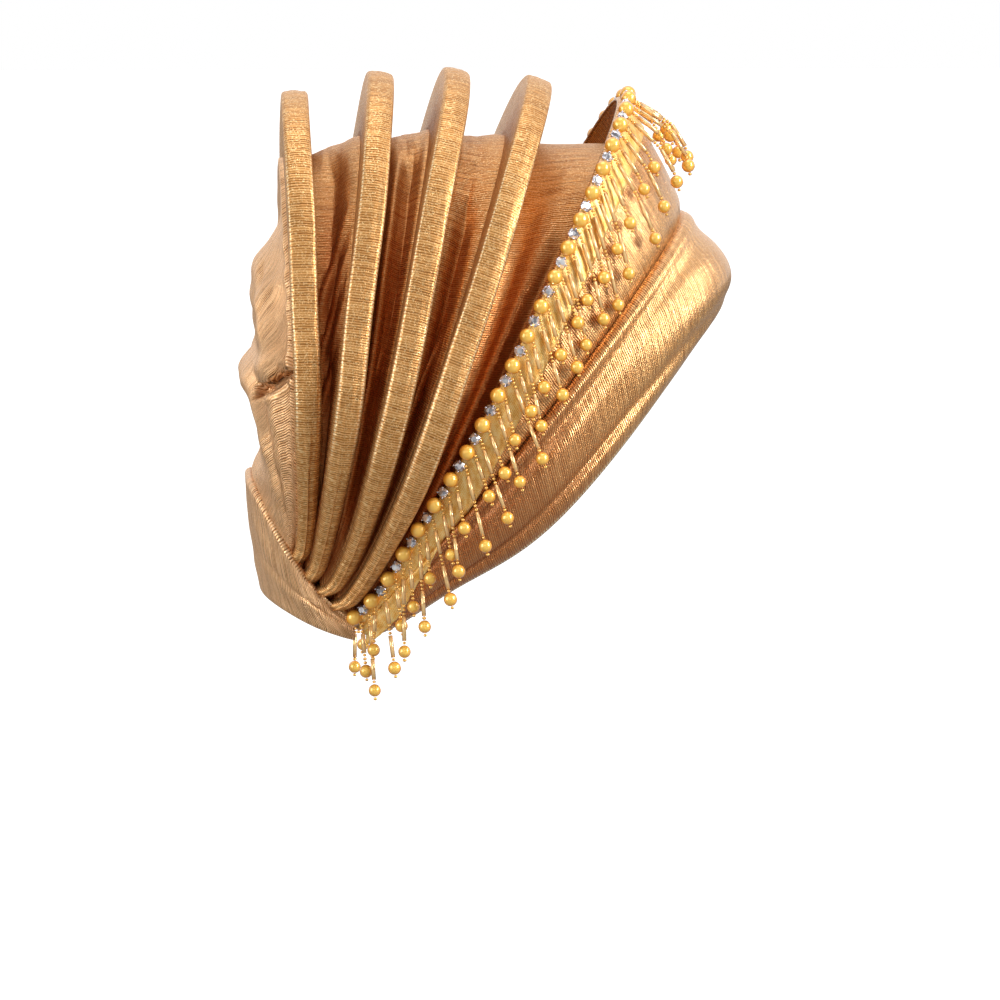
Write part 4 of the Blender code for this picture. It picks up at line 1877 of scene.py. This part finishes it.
    def _add_seed(self, mesh: Batch, centre: Vector, ahead: Vector,
                  rand: random.Random) -> None:
        """Adds one seed bead, a little flatter than a ball.

        Args:
            mesh: The batch that gets it.
            centre: The bead's middle.
            ahead: A point further along the strand.
            rand: The source of small differences.
        """
        turn = frame_at(centre, ahead - centre, Vector((1.0, 0.3, 0.2)))
        size = self.seed_bead * rand.uniform(0.9, 1.1)
        mesh.add(SEED_FORM, turn @ sized(size * 1.05, size * 0.85))

    def _add_bugle(self, mesh: Batch, head: Vector, tail: Vector) -> None:
        """Adds one bugle bead, a straight glass tube.

        Args:
            mesh: The batch that gets it.
            head: The tube's first end.
            tail: The tube's other end.
        """
        middle = (head + tail) / 2
        turn = frame_at(middle, tail - head, Vector((1.0, 0.3, 0.2)))
        mesh.add(BUGLE_FORM, turn @ sized(self.bugle, (tail - head).length))


@dataclass(frozen=True)
class SoftBox:
    """A square studio light that looks at the cap."""

    name: str
    place: tuple[float, float, float]
    size: float
    power: float

    def build(self, target: Vector) -> None:
        """Makes the light.

        Args:
            target: The point that it looks at.
        """
        data = bpy.data.lights.new(self.name, "AREA")
        data.size = self.size
        data.energy = self.power
        light = bpy.data.objects.new(self.name, data)
        light.location = self.place
        light.rotation_mode = "QUATERNION"
        light.rotation_quaternion = (target - light.location).to_track_quat("-Z", "Y")
        bpy.context.scene.collection.objects.link(light)


@dataclass(frozen=True)
class Studio:
    """The camera, the pale floor, the room's light and the soft boxes."""

    target: tuple[float, float, float] = (0.0135, 0.0, -0.1503)
    azimuth: float = -3.5
    elevation: float = 6.5
    distance: float = 2.4
    view_width: float = 0.45
    floor_height: float = -0.42
    boxes: tuple[SoftBox, ...] = (
        SoftBox("key_box", (2.0, -1.35, 0.50), 0.75, 36.0),
        SoftBox("crest_box", (1.6, -0.7, 1.1), 0.8, 25.0),
        SoftBox("fill_box", (-0.5, -2.6, 0.7), 1.3, 6.5),
        SoftBox("top_box", (0.0, 0.0, 2.4), 1.6, 19.0),
        SoftBox("rear_box", (-2.0, -1.0, 0.4), 1.5, 31.0),
    )

    def build(self) -> None:
        """Sets the camera, the world, the floor and the lights."""
        scene = bpy.context.scene
        scene.view_settings.view_transform = "Standard"
        centre = Vector(self.target)
        turn = math.radians(self.azimuth)
        tilt = math.radians(self.elevation)
        back = Vector((
            math.sin(turn) * math.cos(tilt), -math.cos(turn) * math.cos(tilt), math.sin(tilt)
        ))
        data = bpy.data.cameras.new("camera")
        data.sensor_width = 36.0
        data.lens = 36.0 * self.distance / self.view_width
        data.clip_end = 30.0
        camera = bpy.data.objects.new("camera", data)
        camera.location = centre + back * self.distance
        camera.rotation_mode = "QUATERNION"
        camera.rotation_quaternion = (-back).to_track_quat("-Z", "Y")
        scene.collection.objects.link(camera)
        scene.camera = camera
        world = bpy.data.worlds.new("studio_room")
        scene.world = world
        world.use_nodes = True
        tree = world.node_tree
        tree.nodes["Background"].inputs["Color"].default_value = (1.0, 1.0, 1.0, 1.0)
        # The room is a white cove behind and above the cap, and darker towards the camera
        way = add_node(tree, "ShaderNodeTexCoord").outputs["Generated"]
        split = add_node(tree, "ShaderNodeSeparateXYZ", links={0: way})
        behind = add_node(
            tree, "ShaderNodeMapRange", {"interpolation_type": "SMOOTHSTEP"},
            {"From Min": -0.25, "From Max": 0.65, "To Min": 0.12, "To Max": 1.0},
            {"Value": split.outputs["Y"]},
        ).outputs[0]
        room = add_node(
            tree, "ShaderNodeMath", {"operation": "MULTIPLY_ADD"}, {1: 0.35},
            {0: split.outputs["Z"], 2: behind},
        ).outputs[0]
        seen = add_node(tree, "ShaderNodeLightPath").outputs["Is Camera Ray"]
        strength = add_node(
            tree, "ShaderNodeMapRange", values={"To Max": 1.0},
            links={"Value": seen, "To Min": room},
        ).outputs[0]
        tree.links.new(strength, tree.nodes["Background"].inputs["Strength"])
        for box in self.boxes:
            box.build(centre)
        self._floor()

    def _floor(self) -> None:
        """Makes the pale floor."""
        mesh = bmesh.new()
        bmesh.ops.create_grid(
            mesh, x_segments=1, y_segments=1, size=14.0,
            matrix=Matrix.Translation((0.0, 0.0, self.floor_height)),
        )
        material, tree, shader = new_material("pale_floor")
        shader.inputs["Base Color"].default_value = (0.25, 0.25, 0.25, 1.0)
        shader.inputs["Roughness"].default_value = 0.9
        shader.inputs["Emission Color"].default_value = (1.0, 1.0, 1.0, 1.0)
        seen = add_node(tree, "ShaderNodeLightPath").outputs["Is Camera Ray"]
        tree.links.new(seen, shader.inputs["Emission Strength"])
        link_mesh("floor", mesh, material)


def main() -> None:
    """Builds the gele and its studio."""
    logging.basicConfig(level=logging.INFO, format="%(name)s %(message)s")
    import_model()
    Studio().build()
    fin_cloth = CrinkledLame(
        "lame_fins", ridge="DEAA6C", body="BE8444", groove_shade="885626", pitch_mm=1.0, glitter=0.6,
        rib_depth_mm=0.2,
    ).build()
    crown_cloth = CrinkledLame(
        "lame_crown", ridge="E4AE70", body="BC7C3E", groove_shade="70401A", rib_depth_mm=0.35,
        metallic=0.85,
    ).build()
    band_cloth = CrinkledLame(
        "lame_bands", ridge="F0BC7C", rib_depth_mm=0.36, roughness=0.32, metallic=0.82,
        glitter=0.35, coat=0.55,
    ).build()
    rear_cloth = CrinkledLame(
        "lame_rear", pitch_mm=1.4, ridge="F6CCA0", body="E0A870", groove_shade="7A4720",
        rib_depth_mm=0.5,
    ).build()
    fins = [
        Fin(name, arch, seed=number)
        for number, (name, arch) in enumerate(FIN_ARCHES.items(), start=1)
    ]
    for fin in fins:
        fin.build(fin_cloth)
    bands = FrontBands()
    bands.build(band_cloth)
    Crown(fins, bands).build(crown_cloth)
    RearDrape(fins[0]).build(rear_cloth)
    RearBand().build(rear_cloth)
    trim = BeadTrim(TrimGuide(bands))
    pearl = LacqueredPearl().build()
    trim.build_ribbon(MetalGauze().build())
    trim.build_chain(
        pearl, FoiledCrystal().build(), PlatedMetal("silver_cup", "D8D4DE", 0.22).build()
    )
    trim.build_fringe(
        LinedGlass("seed_glass", "FFC868", "B86C20").build(),
        LinedGlass("bugle_glass", "FFD592", "A8662A").build(),
        pearl,
    )


if __name__ == "__main__":
    main()
